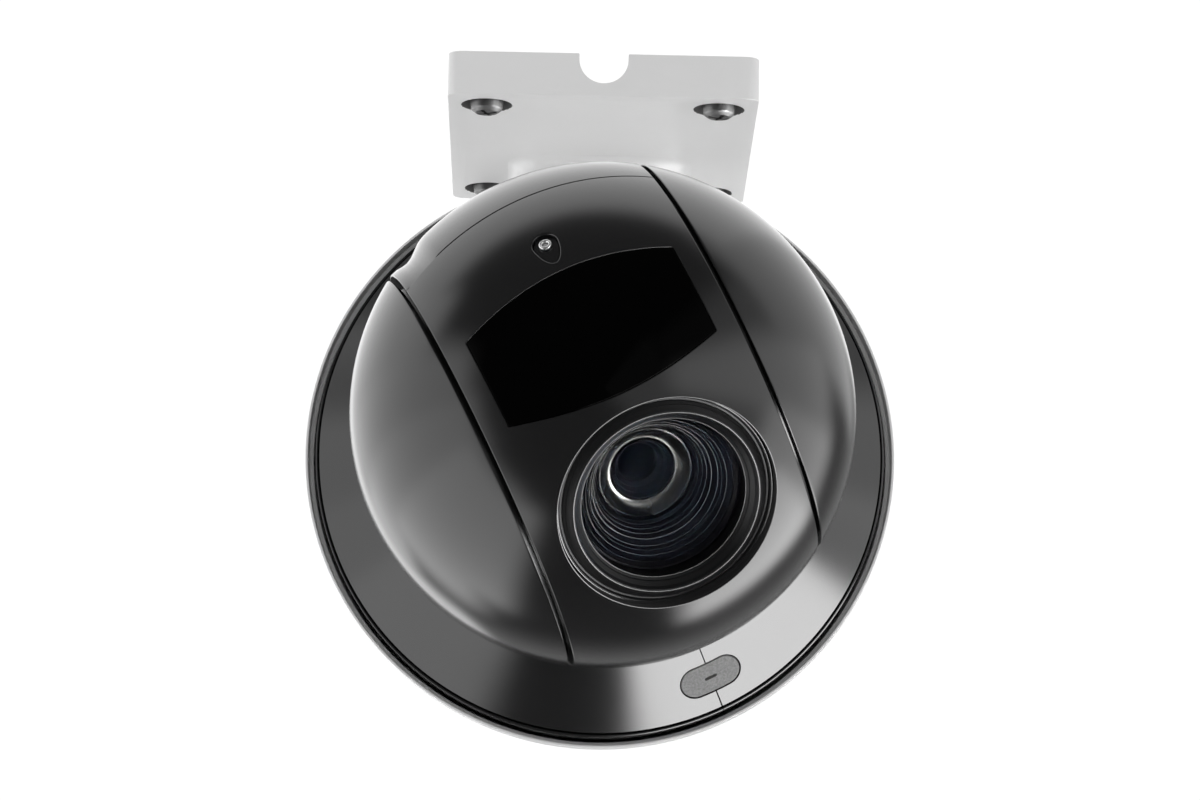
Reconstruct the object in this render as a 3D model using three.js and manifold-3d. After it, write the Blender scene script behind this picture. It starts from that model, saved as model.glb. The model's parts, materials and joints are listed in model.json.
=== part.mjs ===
// Pan-tilt-zoom dome camera hanging from a wall bracket.
// Millimetres, +Z up. The origin is the centre of the wall plate's back face, and +Y points into the wall.
import * as THREE from "three";
import { mergeVertices } from "three/addons/utils/BufferGeometryUtils.js";
import Module from "manifold-3d";

const wasm = await Module();
wasm.setup();

// ---------- driving dimensions ----------
const GAP = 0.3;             // clearance between pieces that rest on each other
const SMOOTH = 36;           // sides of a round piece that shows
const ROUND = 24;            // sides of a large round piece inside
const FINE = 14;             // sides of a small round piece

// wall bracket
const PLATE = { width: 92, height: 125, thick: 13, corner: 4 };
const SCREWS = { x: 34.5, z: 49.5, hole: 3.3, sink: 7.5, sinkDepth: 4, head: 5, headHeight: 5 };
const NOTCH = { width: 14.5, depth: 9 };
const ARM = { width: 48, wall: 4, low: 10, high: 56, endLow: -2, endHigh: 44 };
const SET_SCREW = { z: 3, hole: 2.3, radius: 2, socket: 1, angles: [45, 165, 285] };
const COLLAR = { radius: 31, bore: 24, bottom: -10.7, top: 44, roof: 4, chamfer: 5 };

// dome: heights below are measured from the rim plane of the upper housing
const PAN_Y = -142;
const RIM_Z = -162.5;
const RIM_R = 80;
const LEDGE = 71.7;          // shelf inside the housing that carries the chassis
const CHASSIS = { low: 72, high: 75, radius: 64.5, posts: 50 };
const NECK = { radius: 23.6, bore: 17, flange: 30, low: 148.3, high: 176 };
const SHAFT = { outer: 11.5, bore: 8, low: 17.8, high: 98 };
const FRAME_DISC = { low: 14.5, high: 17.5, radius: 73 };

// skirt: a cone that falls from the rim to the ball
const SKIRT = { outer: 77.2, outerZ: -0.6, inner: 56.3, innerZ: -18, thick: 2.2 };
const PAD = { length: 18, width: 10, thick: 2.4, proud: 0.7, radius: 68.6, slot: 4.4 };

// ball: centre on the pan axis, tilt axis through it
const BALL_R = 66.5;
const BALL_DROP = 53.7;
const SHELL = 2.5;
const BAND = 35.2;           // half the width of the tilting band
const CHEEK = 36.4;          // inner face of each cheek
const PAN_ANGLE = -26.6;     // degrees, about +Z
const TILT_ANGLE = 52.3;     // degrees below the horizon

// head, in its own frame: -Y is the lens axis and X the tilt axis
const LENS = { rim: 28.4, hole: 28.8, face: 57.4, throat: 21.6 };
const WINDOW = { half: 29, near: -34, nearMid: -29.2, far: -58.5, farMid: -61.5, gap: 0.25 };
const SENSOR_ANGLE = -70.5;
const AXLE = { radius: 6, hole: 6.4, flange: 10, back: 29.4 };

// belt drives
const BELT = { width: 5, thick: 1.4, gap: 0.6 };
const PULLEY_WIDTH = 6.2;
const PAN_PULLEY = { radius: 32, teeth: 32, low: 83 };
const PAN_MOTOR = { radius: 16.5, pulley: 8, teeth: 8, centre: 43, low: 50, high: 71.7 };
const TILT_PULLEY = { radius: 15, teeth: 15, x: 45 };
const TILT_MOTOR = { radius: 13, pulley: 6, teeth: 6, rise: 34, x: 17, length: 22 };
const ARM_PLATE = { inner: 39.5, outer: 43.5, half: 17, low: 14, bore: 11.3 };

// ---------- materials ----------
const paint = (color, roughness, metalness = 0) =>
  new THREE.MeshStandardMaterial({ color, roughness, metalness });
const WHITE = paint(0xf1f2f2, 0.35);
const DARK = paint(0x1c1d1f, 0.3);
const SKIRT_DARK = paint(0x35373a, 0.28);
const BLACK_GLOSS = paint(0x050506, 0.06);
const RUBBER = paint(0x2a2b2c, 0.8);
const PAD_GREY = paint(0x8d8f90, 0.75);
const STEEL = paint(0x9fa2a5, 0.3, 1);
const ALUMINIUM = paint(0xb7babd, 0.4, 1);
const BOARD = paint(0x1d5a36, 0.6);
const PLASTIC = paint(0x232426, 0.55);
const GLASS = paint(0x0e1420, 0.05);

// ---------- helpers ----------
function solid(geometry) {
  const shape = geometry.clone();
  shape.deleteAttribute("normal");
  shape.deleteAttribute("uv");
  const merged = mergeVertices(shape, 1e-4);
  return new wasm.Manifold(new wasm.Mesh({
    numProp: 3,
    vertProperties: new Float32Array(merged.attributes.position.array),
    triVerts: new Uint32Array(merged.index.array),
  }));
}

function geometryOf(body) {
  const mesh = body.getMesh();
  const geometry = new THREE.BufferGeometry();
  geometry.setAttribute("position", new THREE.BufferAttribute(new Float32Array(mesh.vertProperties), 3));
  geometry.setIndex(new THREE.BufferAttribute(new Uint32Array(mesh.triVerts), 1));
  return geometry;
}

const placed = (geometry, matrix) => solid(geometry.clone().applyMatrix4(matrix));
const move = (x, y, z) => new THREE.Matrix4().makeTranslation(x, y, z);
const turn = (axis, degrees) => {
  const angle = THREE.MathUtils.degToRad(degrees);
  if (axis === "x") return new THREE.Matrix4().makeRotationX(angle);
  if (axis === "y") return new THREE.Matrix4().makeRotationY(angle);
  return new THREE.Matrix4().makeRotationZ(angle);
};

function addPiece(group, name, shape, material) {
  const geometry = shape.isBufferGeometry ? shape : geometryOf(shape);
  const mesh = new THREE.Mesh(geometry, material);
  mesh.name = name;
  group.add(mesh);
  return mesh;
}

const box = (x0, x1, y0, y1, z0, z1) =>
  placed(new THREE.BoxGeometry(x1 - x0, y1 - y0, z1 - z0), move((x0 + x1) / 2, (y0 + y1) / 2, (z0 + z1) / 2));

// a solid turned about +Z from [radius, height] pairs; the profile closes on itself or ends on the axis
function turned(profile, sides = ROUND) {
  const points = profile.map(([r, z]) => new THREE.Vector2(r, z));
  if (profile[0][0] !== 0 || profile[profile.length - 1][0] !== 0) points.push(points[0].clone());
  const body = placed(new THREE.LatheGeometry(points, sides), turn("x", 90));
  return body;
}

const disc = (radius, z0, z1, sides = FINE) => turned([[0, z0], [radius, z0], [radius, z1], [0, z1]], sides);
const ring = (r0, r1, z0, z1, sides = FINE) => turned([[r0, z0], [r1, z0], [r1, z1], [r0, z1]], sides);
const rotated = (body, axis, degrees) => placed(geometryOf(body), turn(axis, degrees));
const shifted = (body, x, y, z) => placed(geometryOf(body), move(x, y, z));
// the same solids turned about +X, from x0 to x1
const alongX = (body) => rotated(body, "y", 90);
// the same solids turned about the lens axis: a height h becomes y = -h
const alongLens = (body) => rotated(body, "x", 90);
const ball = (radius) => solid(new THREE.SphereGeometry(radius, 36, 22));
const roughBall = (radius) => solid(new THREE.SphereGeometry(radius, 20, 12));

// an outline in X and Z, extruded along Y from y0 to y1
const extruded = (outline, depth, curveSegments = 5) =>
  new THREE.ExtrudeGeometry(outline, { depth, bevelEnabled: false, curveSegments });

function slab(outline, y0, y1) {
  return placed(extruded(outline, y1 - y0), move(0, y1, 0).multiply(turn("x", 90)));
}

function roundedRect(width, height, radius) {
  const w = width / 2;
  const h = height / 2;
  const shape = new THREE.Shape();
  shape.moveTo(-w + radius, -h);
  shape.lineTo(w - radius, -h);
  shape.absarc(w - radius, -h + radius, radius, -Math.PI / 2, 0);
  shape.lineTo(w, h - radius);
  shape.absarc(w - radius, h - radius, radius, 0, Math.PI / 2);
  shape.lineTo(-w + radius, h);
  shape.absarc(-w + radius, h - radius, radius, Math.PI / 2, Math.PI);
  shape.lineTo(-w, -h + radius);
  shape.absarc(-w + radius, -h + radius, radius, Math.PI, Math.PI * 1.5);
  return shape;
}

// a closed belt around two pulleys, the big one at the origin and the small one at distance along +Y
function belt(bigRadius, smallRadius, distance) {
  const loop = (extra) => {
    const big = bigRadius + BELT.gap + extra;
    const small = smallRadius + BELT.gap + extra;
    const lean = Math.asin((big - small) / distance);
    const shape = new THREE.Shape();
    shape.absarc(0, 0, big, Math.PI - lean, 2 * Math.PI + lean, false);
    shape.absarc(0, distance, small, lean, Math.PI - lean, false);
    shape.closePath();
    return extruded(shape, BELT.width, 12);
  };
  const outer = solid(loop(BELT.thick));
  const inner = placed(loop(0).scale(1, 1, 1.4), move(0, 0, -BELT.width * 0.2));
  return outer.subtract(inner);
}

const camera = new THREE.Group();

// ---------- wall bracket ----------
// side outline of the arm, as [y, z], inset by the wall thickness for the cable passage
function armSide(inset) {
  const shape = new THREE.Shape();
  const end = PAN_Y;
  shape.moveTo(inset ? 2 : -6, ARM.low + inset);
  shape.lineTo(-PLATE.thick - 2, ARM.low + inset);
  shape.quadraticCurveTo(-70, ARM.low + inset + 2, end + 20, ARM.endLow + inset + 3);
  shape.lineTo(end, ARM.endLow + inset + 3);
  shape.lineTo(end, ARM.endHigh - inset);
  shape.quadraticCurveTo(-80, ARM.high - inset, -PLATE.thick - 2, ARM.high - inset);
  shape.lineTo(inset ? 2 : -6, ARM.high - inset);
  return shape;
}

function armBody(inset) {
  const width = ARM.width - 2 * inset;
  const upright = new THREE.Matrix4().set(0, 0, 1, -width / 2, 1, 0, 0, 0, 0, 1, 0, 0, 0, 0, 0, 1);
  return placed(extruded(armSide(inset), width), upright);
}

function bracket() {
  const plate = slab(roundedRect(PLATE.width, PLATE.height, PLATE.corner), -PLATE.thick, 0);
  const collar = turned([
    [0, COLLAR.bottom], [COLLAR.radius, COLLAR.bottom], [COLLAR.radius, COLLAR.top - COLLAR.chamfer],
    [COLLAR.radius - COLLAR.chamfer, COLLAR.top], [0, COLLAR.top],
  ], SMOOTH);
  const collarRoom = disc(COLLAR.bore, COLLAR.bottom - 1, COLLAR.top - COLLAR.roof, SMOOTH);
  let body = plate.add(armBody(0)).add(shifted(collar, 0, PAN_Y, 0));
  body = body.subtract(armBody(ARM.wall));
  body = body.subtract(shifted(collarRoom, 0, PAN_Y, 0));
  const half = NOTCH.width / 2;
  const channel = new THREE.Shape();
  channel.moveTo(-half, 1);
  channel.lineTo(-half, half - NOTCH.depth);
  channel.absarc(0, half - NOTCH.depth, half, Math.PI, 2 * Math.PI, false);
  channel.lineTo(half, 1);
  const length = PLATE.height / 2 + ARM.low + 8;
  body = body.subtract(placed(extruded(channel, length), move(0, 0, -PLATE.height / 2 - 1)));
  for (const x of [-SCREWS.x, SCREWS.x]) {
    for (const z of [-SCREWS.z, SCREWS.z]) {
      const hole = rotated(disc(SCREWS.hole, -1, PLATE.thick + 1, 14), "x", 90);
      const sink = rotated(disc(SCREWS.sink, PLATE.thick - SCREWS.sinkDepth, PLATE.thick + 1, 18), "x", 90);
      body = body.subtract(shifted(hole.add(sink), x, 0, z));
    }
  }
  for (const angle of SET_SCREW.angles) {
    body = body.subtract(setScrewShape(angle, SET_SCREW.hole, COLLAR.bore - 2, COLLAR.radius + 2));
  }
  return body;
}

function setScrewShape(angle, radius, from, to) {
  const rod = rotated(disc(radius, from, to, 16), "y", 90);
  return shifted(rotated(rod, "z", angle), 0, PAN_Y, SET_SCREW.z);
}

addPiece(camera, "wall_bracket", bracket(), WHITE);

SET_SCREW.angles.forEach((angle, index) => {
  const rod = setScrewShape(angle, SET_SCREW.radius, NECK.radius + GAP, COLLAR.radius - 1);
  const socket = setScrewShape(angle, SET_SCREW.socket, COLLAR.radius - 3, COLLAR.radius);
  addPiece(camera, `adapter_set_screw_${index + 1}`, rod.subtract(socket), STEEL);
});

// pan heads with a cross recess, on plain washers
const WASHER_THICK = 1;
const RECESS = { half: 3, width: 0.6, depth: 2 };
let screwNumber = 0;
for (const z of [-SCREWS.z, SCREWS.z]) {
  for (const x of [-SCREWS.x, SCREWS.x]) {
    screwNumber += 1;
    const floor = PLATE.thick - SCREWS.sinkDepth;
    const seat = floor + GAP + WASHER_THICK + GAP;
    const top = seat + SCREWS.headHeight;
    const shank = SCREWS.hole - 0.5;
    let screw = turned([[0, 0.5], [shank, 0.5], [shank, seat], [SCREWS.head, seat], [SCREWS.head, top - 1.5],
      [SCREWS.head - 1.6, top], [0, top]], 12);
    const slot = box(-RECESS.half, RECESS.half, -RECESS.width, RECESS.width, top - RECESS.depth, top + 1);
    screw = screw.subtract(slot).subtract(rotated(slot, "z", 90));
    const washer = ring(SCREWS.hole, SCREWS.sink - 0.6, floor + GAP, floor + GAP + WASHER_THICK, 12);
    addPiece(camera, `wall_screw_${screwNumber}`, shifted(rotated(screw, "x", 90), x, 0, z), STEEL);
    addPiece(camera, `wall_washer_${screwNumber}`, shifted(rotated(washer, "x", 90), x, 0, z), STEEL);
  }
}

// ---------- upper housing and what it holds ----------
const dome = new THREE.Group();
dome.position.set(0, PAN_Y, RIM_Z);
camera.add(dome);

addPiece(dome, "upper_housing", turned([
  [RIM_R, 0], [RIM_R, 3.5], [79.2, 6], [75.4, 28], [71.6, 50], [67.8, 72], [64.4, 90], [61, 103],
  [58.4, 110.5], [54.8, 117.2], [52, 119.5], [51.2, 117.2], [52.8, 115.6], [56.2, 109.6], [58.8, 102.6],
  [62.2, 90], [65.8, LEDGE], [62.6, LEDGE], [62.6, LEDGE - 3], [67.2, LEDGE - 9], [73.4, 28], [76.1, 14],
  [78.1, 4], [78.1, 0],
], SMOOTH), WHITE);

addPiece(dome, "top_cap", turned([
  [56, 120], [54.5, 124], [49, 132], [41, 139], [31, 144], [31, 148], [24, 148], [24, 144],
  [39.6, 136.2], [47.2, 129.6], [52.2, 122.6], [52.6, 120],
], SMOOTH), WHITE);
addPiece(dome, "cap_seal", ring(48.4, 50.6, 116.5, 122, ROUND), RUBBER);
addPiece(dome, "pendant_adapter", turned([
  [NECK.bore, 143], [23.5, 143], [23.5, NECK.low], [NECK.flange, NECK.low], [NECK.flange, NECK.low + 3],
  [NECK.radius, NECK.low + 3], [NECK.radius, NECK.high], [NECK.bore, NECK.high],
]), ALUMINIUM);
addPiece(dome, "cable_grommet", turned([
  [4.5, 152], [16.6, 152], [16.6, 158], [9, 158], [7, 168], [4.5, 168],
], FINE), RUBBER);

// chassis: a round plate with posts for the board above it
function chassis() {
  let body = disc(CHASSIS.radius, CHASSIS.low, CHASSIS.high, ROUND);
  for (let post = 0; post < 4; post += 1) {
    const angle = Math.PI * (0.25 + post / 2);
    const x = CHASSIS.posts * Math.cos(angle);
    const y = CHASSIS.posts * Math.sin(angle);
    body = body.add(shifted(disc(3, CHASSIS.high - 1, 101.7, 12), x, y, 0));
  }
  body = body.subtract(disc(26.3, CHASSIS.low - 1, CHASSIS.high + 1, ROUND));
  return body.subtract(shifted(disc(6.6, CHASSIS.low - 1, CHASSIS.high + 1), 0, PAN_MOTOR.centre, 0));
}
addPiece(dome, "chassis_plate", chassis(), ALUMINIUM);

const bearingLow = CHASSIS.low - 1;
const bearingHigh = CHASSIS.high + 1;
addPiece(dome, "pan_bearing_outer", turned([
  [20.4, bearingLow], [26, bearingLow], [26, bearingHigh], [20.4, bearingHigh], [21.2, 73.5],
], ROUND), STEEL);

function cage() {
  let body = ring(17.3, 19.4, 72.6, 74.4);
  for (let ballIndex = 0; ballIndex < 8; ballIndex += 1) {
    const place = new THREE.Vector2(18.35, 0).rotateAround(new THREE.Vector2(), Math.PI * 2 * ballIndex / 8);
    body = body.add(placed(new THREE.SphereGeometry(1.7, 6, 4), move(place.x, place.y, 73.5)));
  }
  return body;
}
addPiece(dome, "bearing_cage", cage(), STEEL);

// pan motor under the chassis, its boss standing up through it
function motorBody(radius, length, bossRadius, bossLength, shaftHole) {
  return turned([
    [0, 0], [radius - 1, 0], [radius, 1], [radius, length], [bossRadius, length],
    [bossRadius, length + bossLength], [shaftHole, length + bossLength],
    [shaftHole, length - 4], [0, length - 4],
  ], 24);
}
const PAN_BOSS = { radius: 6.2, length: 5, hole: 2.9 };
const panMotor = motorBody(
  PAN_MOTOR.radius, PAN_MOTOR.high - PAN_MOTOR.low, PAN_BOSS.radius, PAN_BOSS.length, PAN_BOSS.hole);
addPiece(dome, "pan_motor", shifted(panMotor, 0, PAN_MOTOR.centre, PAN_MOTOR.low), STEEL);

addPiece(dome, "pan_belt", shifted(belt(PAN_PULLEY.radius, PAN_MOTOR.pulley, PAN_MOTOR.centre),
  0, 0, PAN_PULLEY.low + 0.6), RUBBER);

// toothed pulley: a drum with shallow grooves between two thin flanges on the free side
function pulley(radius, width, bore, teeth) {
  let body = bore ? ring(bore, radius, 0, width, ROUND) : disc(radius, 0, width, ROUND);
  for (let tooth = 0; tooth < teeth; tooth += 1) {
    const groove = box(radius - 0.7, radius + 1, -0.55, 0.55, -1, width + 1);
    body = body.subtract(rotated(groove, "z", 360 * tooth / teeth));
  }
  return body;
}

const motorPulleyAxle = disc(2.5, -(PAN_PULLEY.low - PAN_MOTOR.high) - 3, 1, 16);
const panMotorPulley = pulley(PAN_MOTOR.pulley, PULLEY_WIDTH, 0, PAN_MOTOR.teeth).add(motorPulleyAxle);
addPiece(dome, "pan_motor_pulley", shifted(panMotorPulley, 0, PAN_MOTOR.centre, PAN_PULLEY.low), ALUMINIUM);

// main board on the posts, round with a hole for the slip ring
function mainBoard() {
  let body = ring(15, 55, 102, 103.6);
  body = body.add(box(22, 44, -12, 12, 103, 106.5)).add(box(-46, -30, -20, 4, 103, 110));
  return body.add(box(-10, 12, 28, 44, 103, 105.5)).add(box(-18, 6, -46, -32, 103, 112));
}
addPiece(dome, "main_board", mainBoard(), BOARD);
addPiece(dome, "slip_ring_stator", turned([
  [6, 99.5], [13, 99.5], [13, 104.6], [19, 104.6], [19, 106.6], [13, 106.6], [13, 112], [6, 112],
], 16), PLASTIC);

// ---------- pan yoke: everything that turns about the vertical axis ----------
const yoke = new THREE.Group();
yoke.position.set(0, PAN_Y, RIM_Z - BALL_DROP);
yoke.rotation.z = THREE.MathUtils.degToRad(PAN_ANGLE);
camera.add(yoke);
const atRim = (body) => shifted(body, 0, 0, BALL_DROP);   // rim heights to heights above the ball's centre

function skirtRing() {
  const rise = (SKIRT.outerZ - SKIRT.innerZ) / (SKIRT.outer - SKIRT.inner);
  const topZ = (r) => SKIRT.innerZ + (r - SKIRT.inner) * rise + SKIRT.thick * Math.hypot(1, rise);
  return turned([
    [SKIRT.inner, SKIRT.innerZ], [SKIRT.outer, SKIRT.outerZ], [SKIRT.outer, 3], [75.2, 3], [75.2, 14],
    [68, 14], [68, 12], [73, 12], [73, topZ(73)], [SKIRT.inner, topZ(SKIRT.inner)],
  ], SMOOTH);
}

// the pad lies in the cone's surface, across the front seam
const padSlope = Math.atan2(SKIRT.outerZ - SKIRT.innerZ, SKIRT.outer - SKIRT.inner);
const padHeight = SKIRT.innerZ + (PAD.radius - SKIRT.inner) * Math.tan(padSlope) + BALL_DROP;
const padPlace = move(0, -PAD.radius, padHeight).multiply(turn("x", -THREE.MathUtils.radToDeg(padSlope)));

function padShape(grow, low, high) {
  const half = PAD.width / 2 + grow;
  const straight = PAD.length / 2 - PAD.width / 2;
  const shape = new THREE.Shape();
  shape.absarc(straight, 0, half, -Math.PI / 2, Math.PI / 2, false);
  shape.absarc(-straight, 0, half, Math.PI / 2, Math.PI * 1.5, false);
  return placed(extruded(shape, high - low, 7), padPlace.clone().multiply(move(0, 0, low)));
}

const skirt = atRim(skirtRing()).subtract(padShape(GAP, -6, 6));
const HALF_SPACE = 120;
const onRight = box(-GAP / 2, HALF_SPACE, -HALF_SPACE, HALF_SPACE, -HALF_SPACE, HALF_SPACE);
const onLeft = box(-HALF_SPACE, GAP / 2, -HALF_SPACE, HALF_SPACE, -HALF_SPACE, HALF_SPACE);
addPiece(yoke, "skirt_left", skirt.subtract(onRight), SKIRT_DARK);
addPiece(yoke, "skirt_right", skirt.subtract(onLeft), SKIRT_DARK);
const slotPlace = padPlace.clone().multiply(move(0, 0, -PAD.proud));
const padSlot = placed(new THREE.BoxGeometry(PAD.slot, 1, 1), slotPlace);
addPiece(yoke, "skirt_plug", padShape(0, -PAD.proud, PAD.thick - PAD.proud).subtract(padSlot), PAD_GREY);

// cheeks: caps of the ball outside the tilting band, with a slot for the arm and the belt
function cheek(side) {
  let body = ball(BALL_R).subtract(roughBall(BALL_R - SHELL));
  body = body.subtract(box(-HALF_SPACE, CHEEK, -HALF_SPACE, HALF_SPACE, -HALF_SPACE, HALF_SPACE));
  body = body.subtract(box(30, ARM_PLATE.outer + 0.7, -ARM_PLATE.half - 0.6, ARM_PLATE.half + 0.6, 20, 80));
  body = body.subtract(box(ARM_PLATE.outer, 52, -14.6, 14.6, 20, 80));
  return side > 0 ? body : rotated(body, "z", 180);
}
addPiece(yoke, "cheek_left", cheek(-1), DARK);
addPiece(yoke, "cheek_right", cheek(1), DARK);

// yoke frame: a round plate with two arms down to the tilt axis
function yokeFrame() {
  let body = atRim(disc(FRAME_DISC.radius, FRAME_DISC.low, FRAME_DISC.high, SMOOTH));
  body = body.subtract(atRim(disc(SHAFT.bore, FRAME_DISC.low - 1, FRAME_DISC.high + 1)));
  for (const side of [-1, 1]) {
    const low = side > 0 ? ARM_PLATE.inner : -ARM_PLATE.outer;
    const high = side > 0 ? ARM_PLATE.outer : -ARM_PLATE.inner;
    body = body.add(box(low, high, -ARM_PLATE.half, ARM_PLATE.half, 0, BALL_DROP + FRAME_DISC.low + 1));
    body = body.add(alongX(disc(ARM_PLATE.half, low, high, ROUND)));
    body = body.subtract(alongX(disc(ARM_PLATE.bore, low - 1, high + 1, ROUND)));
  }
  return body.subtract(box(ARM_PLATE.outer, 52, -12, 12, BALL_DROP, BALL_DROP + 30));
}
addPiece(yoke, "yoke_frame", yokeFrame(), ALUMINIUM);

addPiece(yoke, "pan_shaft", atRim(turned([
  [SHAFT.bore, SHAFT.low], [20, SHAFT.low], [20, SHAFT.low + 3], [SHAFT.outer, SHAFT.low + 3],
  [SHAFT.outer, SHAFT.high], [SHAFT.bore, SHAFT.high],
], 24)), STEEL);
addPiece(yoke, "pan_bearing_inner", atRim(turned([
  [SHAFT.outer + GAP, bearingLow], [16.3, bearingLow], [15.5, 73.5], [16.3, bearingHigh],
  [SHAFT.outer + GAP, bearingHigh],
], 24)), STEEL);
const panPulley = pulley(PAN_PULLEY.radius, PULLEY_WIDTH, SHAFT.outer + GAP, PAN_PULLEY.teeth);
addPiece(yoke, "pan_pulley", atRim(shifted(panPulley, 0, 0, PAN_PULLEY.low)), ALUMINIUM);
addPiece(yoke, "slip_ring_rotor", atRim(disc(5.4, 84, 111, 24)), PLASTIC);

for (const side of [-1, 1]) {
  const bearing = ring(
    AXLE.radius + 0.4, ARM_PLATE.bore - GAP, ARM_PLATE.inner - 0.5, ARM_PLATE.outer + 0.5, ROUND);
  const body = side > 0 ? alongX(bearing) : rotated(alongX(bearing), "z", 180);
  addPiece(yoke, side > 0 ? "tilt_bearing_right" : "tilt_bearing_left", body, STEEL);
}

// tilt motor on the plate, its foot under it
const tiltMotorZ = TILT_MOTOR.rise + BALL_DROP;
function tiltMotor() {
  let body = alongX(motorBody(TILT_MOTOR.radius, TILT_MOTOR.length, 5, 3, 2.4));
  body = shifted(body, TILT_MOTOR.x, 0, tiltMotorZ);
  const foot = box(TILT_MOTOR.x + 3, TILT_MOTOR.x + TILT_MOTOR.length - 3, -15, 15,
    FRAME_DISC.high + BALL_DROP + GAP, tiltMotorZ - 8);
  return body.add(foot).subtract(atRim(disc(20.5, SHAFT.low - 2, SHAFT.low + 3 + GAP, 32)));
}
addPiece(yoke, "tilt_motor", tiltMotor(), STEEL);

function tiltMotorPulley() {
  const drum = pulley(TILT_MOTOR.pulley, PULLEY_WIDTH, 0, TILT_MOTOR.teeth);
  const axle = disc(2, -(TILT_PULLEY.x - TILT_MOTOR.x - TILT_MOTOR.length) - 2.5, 1, 16);
  return shifted(alongX(drum.add(axle)), TILT_PULLEY.x, 0, tiltMotorZ);
}
addPiece(yoke, "tilt_motor_pulley", tiltMotorPulley(), ALUMINIUM);

// belt loop in the YZ plane: its own +Y becomes +Z
function tiltBelt() {
  const loop = belt(TILT_PULLEY.radius, TILT_MOTOR.pulley, tiltMotorZ);
  const upright = new THREE.Matrix4().set(0, 0, 1, 0, 1, 0, 0, 0, 0, 1, 0, 0, 0, 0, 0, 1);
  return shifted(placed(geometryOf(loop), upright), TILT_PULLEY.x + 0.6, 0, 0);
}
addPiece(yoke, "tilt_belt", tiltBelt(), RUBBER);

function driverBoard() {
  let body = box(-56, -24, -22, 22, 24, 25.6);
  body = body.add(box(-50, -38, -16, -4, 25, 28)).add(box(-36, -28, 4, 18, 25, 31));
  for (const y of [-19, 19]) {
    body = body.add(shifted(disc(2.5, FRAME_DISC.high + GAP, 24.5, 12), -40, y, 0));
  }
  return atRim(body);
}
addPiece(yoke, "driver_board", driverBoard(), BOARD);

// ---------- tilting head ----------
const head = new THREE.Group();
head.rotation.x = THREE.MathUtils.degToRad(TILT_ANGLE);
yoke.add(head);

// a point on the ball's surface: x across, angle from the lens axis, negative below it
const onBall = (x, degrees, radius) => {
  const angle = THREE.MathUtils.degToRad(degrees);
  const reach = Math.sqrt(radius * radius - x * x);
  return new THREE.Vector3(x, -reach * Math.cos(angle), reach * Math.sin(angle));
};

// the window's outline, seen square to its middle, extruded through the shell
function windowPrism(shrink) {
  const middle = (WINDOW.nearMid + WINDOW.farMid) / 2;
  const inward = turn("x", middle);
  const half = WINDOW.half - shrink;
  const edge = (x, corner, mid, sign) => {
    const bow = 1 - (x / WINDOW.half) ** 2;
    const point = onBall(x, corner + (mid - corner) * bow, BALL_R).applyMatrix4(inward);
    return new THREE.Vector2(x, point.z - sign * shrink);
  };
  const shape = new THREE.Shape();
  const steps = 6;
  const points = [];
  for (let step = 0; step <= steps; step += 1) {
    points.push(edge(-half + 2 * half * step / steps, WINDOW.near, WINDOW.nearMid, 1));
  }
  for (let step = 0; step <= steps; step += 1) {
    points.push(edge(half - 2 * half * step / steps, WINDOW.far, WINDOW.farMid, -1));
  }
  shape.setFromPoints(points);
  const prism = slab(shape, -80, -50);
  return placed(geometryOf(prism), turn("x", -middle));
}

const sensorHole = (radius) => {
  const rod = rotated(disc(radius, 50, 80, 20), "x", 90);
  return rotated(rod, "x", -SENSOR_ANGLE);
};

function headShell() {
  const outer = ball(BALL_R).intersect(box(-BAND, BAND, -90, 90, -90, 90));
  const room = roughBall(BALL_R - SHELL).intersect(box(-BAND + SHELL, BAND - SHELL, -90, 90, -90, 90));
  const axleHole = alongX(disc(AXLE.hole, -60, 60));
  return outer.subtract(room).subtract(axleHole);
}
const shell = headShell();
const frontHalf = shell.subtract(box(-90, 90, -GAP / 2, 90, -90, 90));
const rearHalf = shell.subtract(box(-90, 90, -90, GAP / 2, -90, 90));
const lensHole = alongLens(disc(LENS.hole, 20, 90, SMOOTH));
addPiece(head, "head_front_cover",
  frontHalf.subtract(lensHole).subtract(windowPrism(0)).subtract(sensorHole(2.6)), DARK);
addPiece(head, "head_rear_cover", rearHalf, DARK);

const skin = ball(BALL_R - 0.3).subtract(roughBall(BALL_R - 2));
addPiece(head, "ir_window", skin.intersect(windowPrism(WINDOW.gap)), BLACK_GLOSS);
const sensorRod = sensorHole(2.2).intersect(roughBall(BALL_R - 0.6)).subtract(roughBall(BALL_R - 7));
addPiece(head, "light_sensor", sensorRod, GLASS);

// infrared board: flat plate with a row of emitters behind the window
function ledBoard() {
  let body = box(-24, 24, -57, -55.4, -11, 11);
  for (const x of [-18, -6, 6, 18]) {
    for (const z of [-5.5, 5.5]) {
      body = body.add(shifted(rotated(disc(2.4, 56, 59.4, 8), "x", 90), x, 0, z));
    }
  }
  return rotated(body, "x", 46.5);
}
addPiece(head, "ir_led_board", ledBoard(), BOARD);

addPiece(head, "lens_bezel", alongLens(turned([
  [LENS.throat, 49.5], [LENS.rim, 49.5], [LENS.rim, LENS.face], [27.7, LENS.face], [27.2, 56.8],
  [25.1, 58.7], [24.4, 59], [23.9, 58.6], [LENS.throat, 56],
], SMOOTH)), DARK);
addPiece(head, "front_lens", alongLens(turned([
  [0, 53.6], [12, 53.2], [21.2, 52.4], [21.2, 53.6], [12, 55.4], [0, 56],
])), GLASS);
addPiece(head, "lens_housing", alongLens(turned([
  [22, 49], [15.8, 47.3], [15.2, 44], [8.2, 38.2], [5.6, 35.8], [5.6, 34], [15, 28], [15, -6],
  [18, -6], [18, 24], [26, 26], [26, 49],
])), PLASTIC);
addPiece(head, "sensor_block", box(-22, 22, 10, 26, -20, 20).add(box(-12, 12, 25, 29, -10, 10)), PLASTIC);

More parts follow.
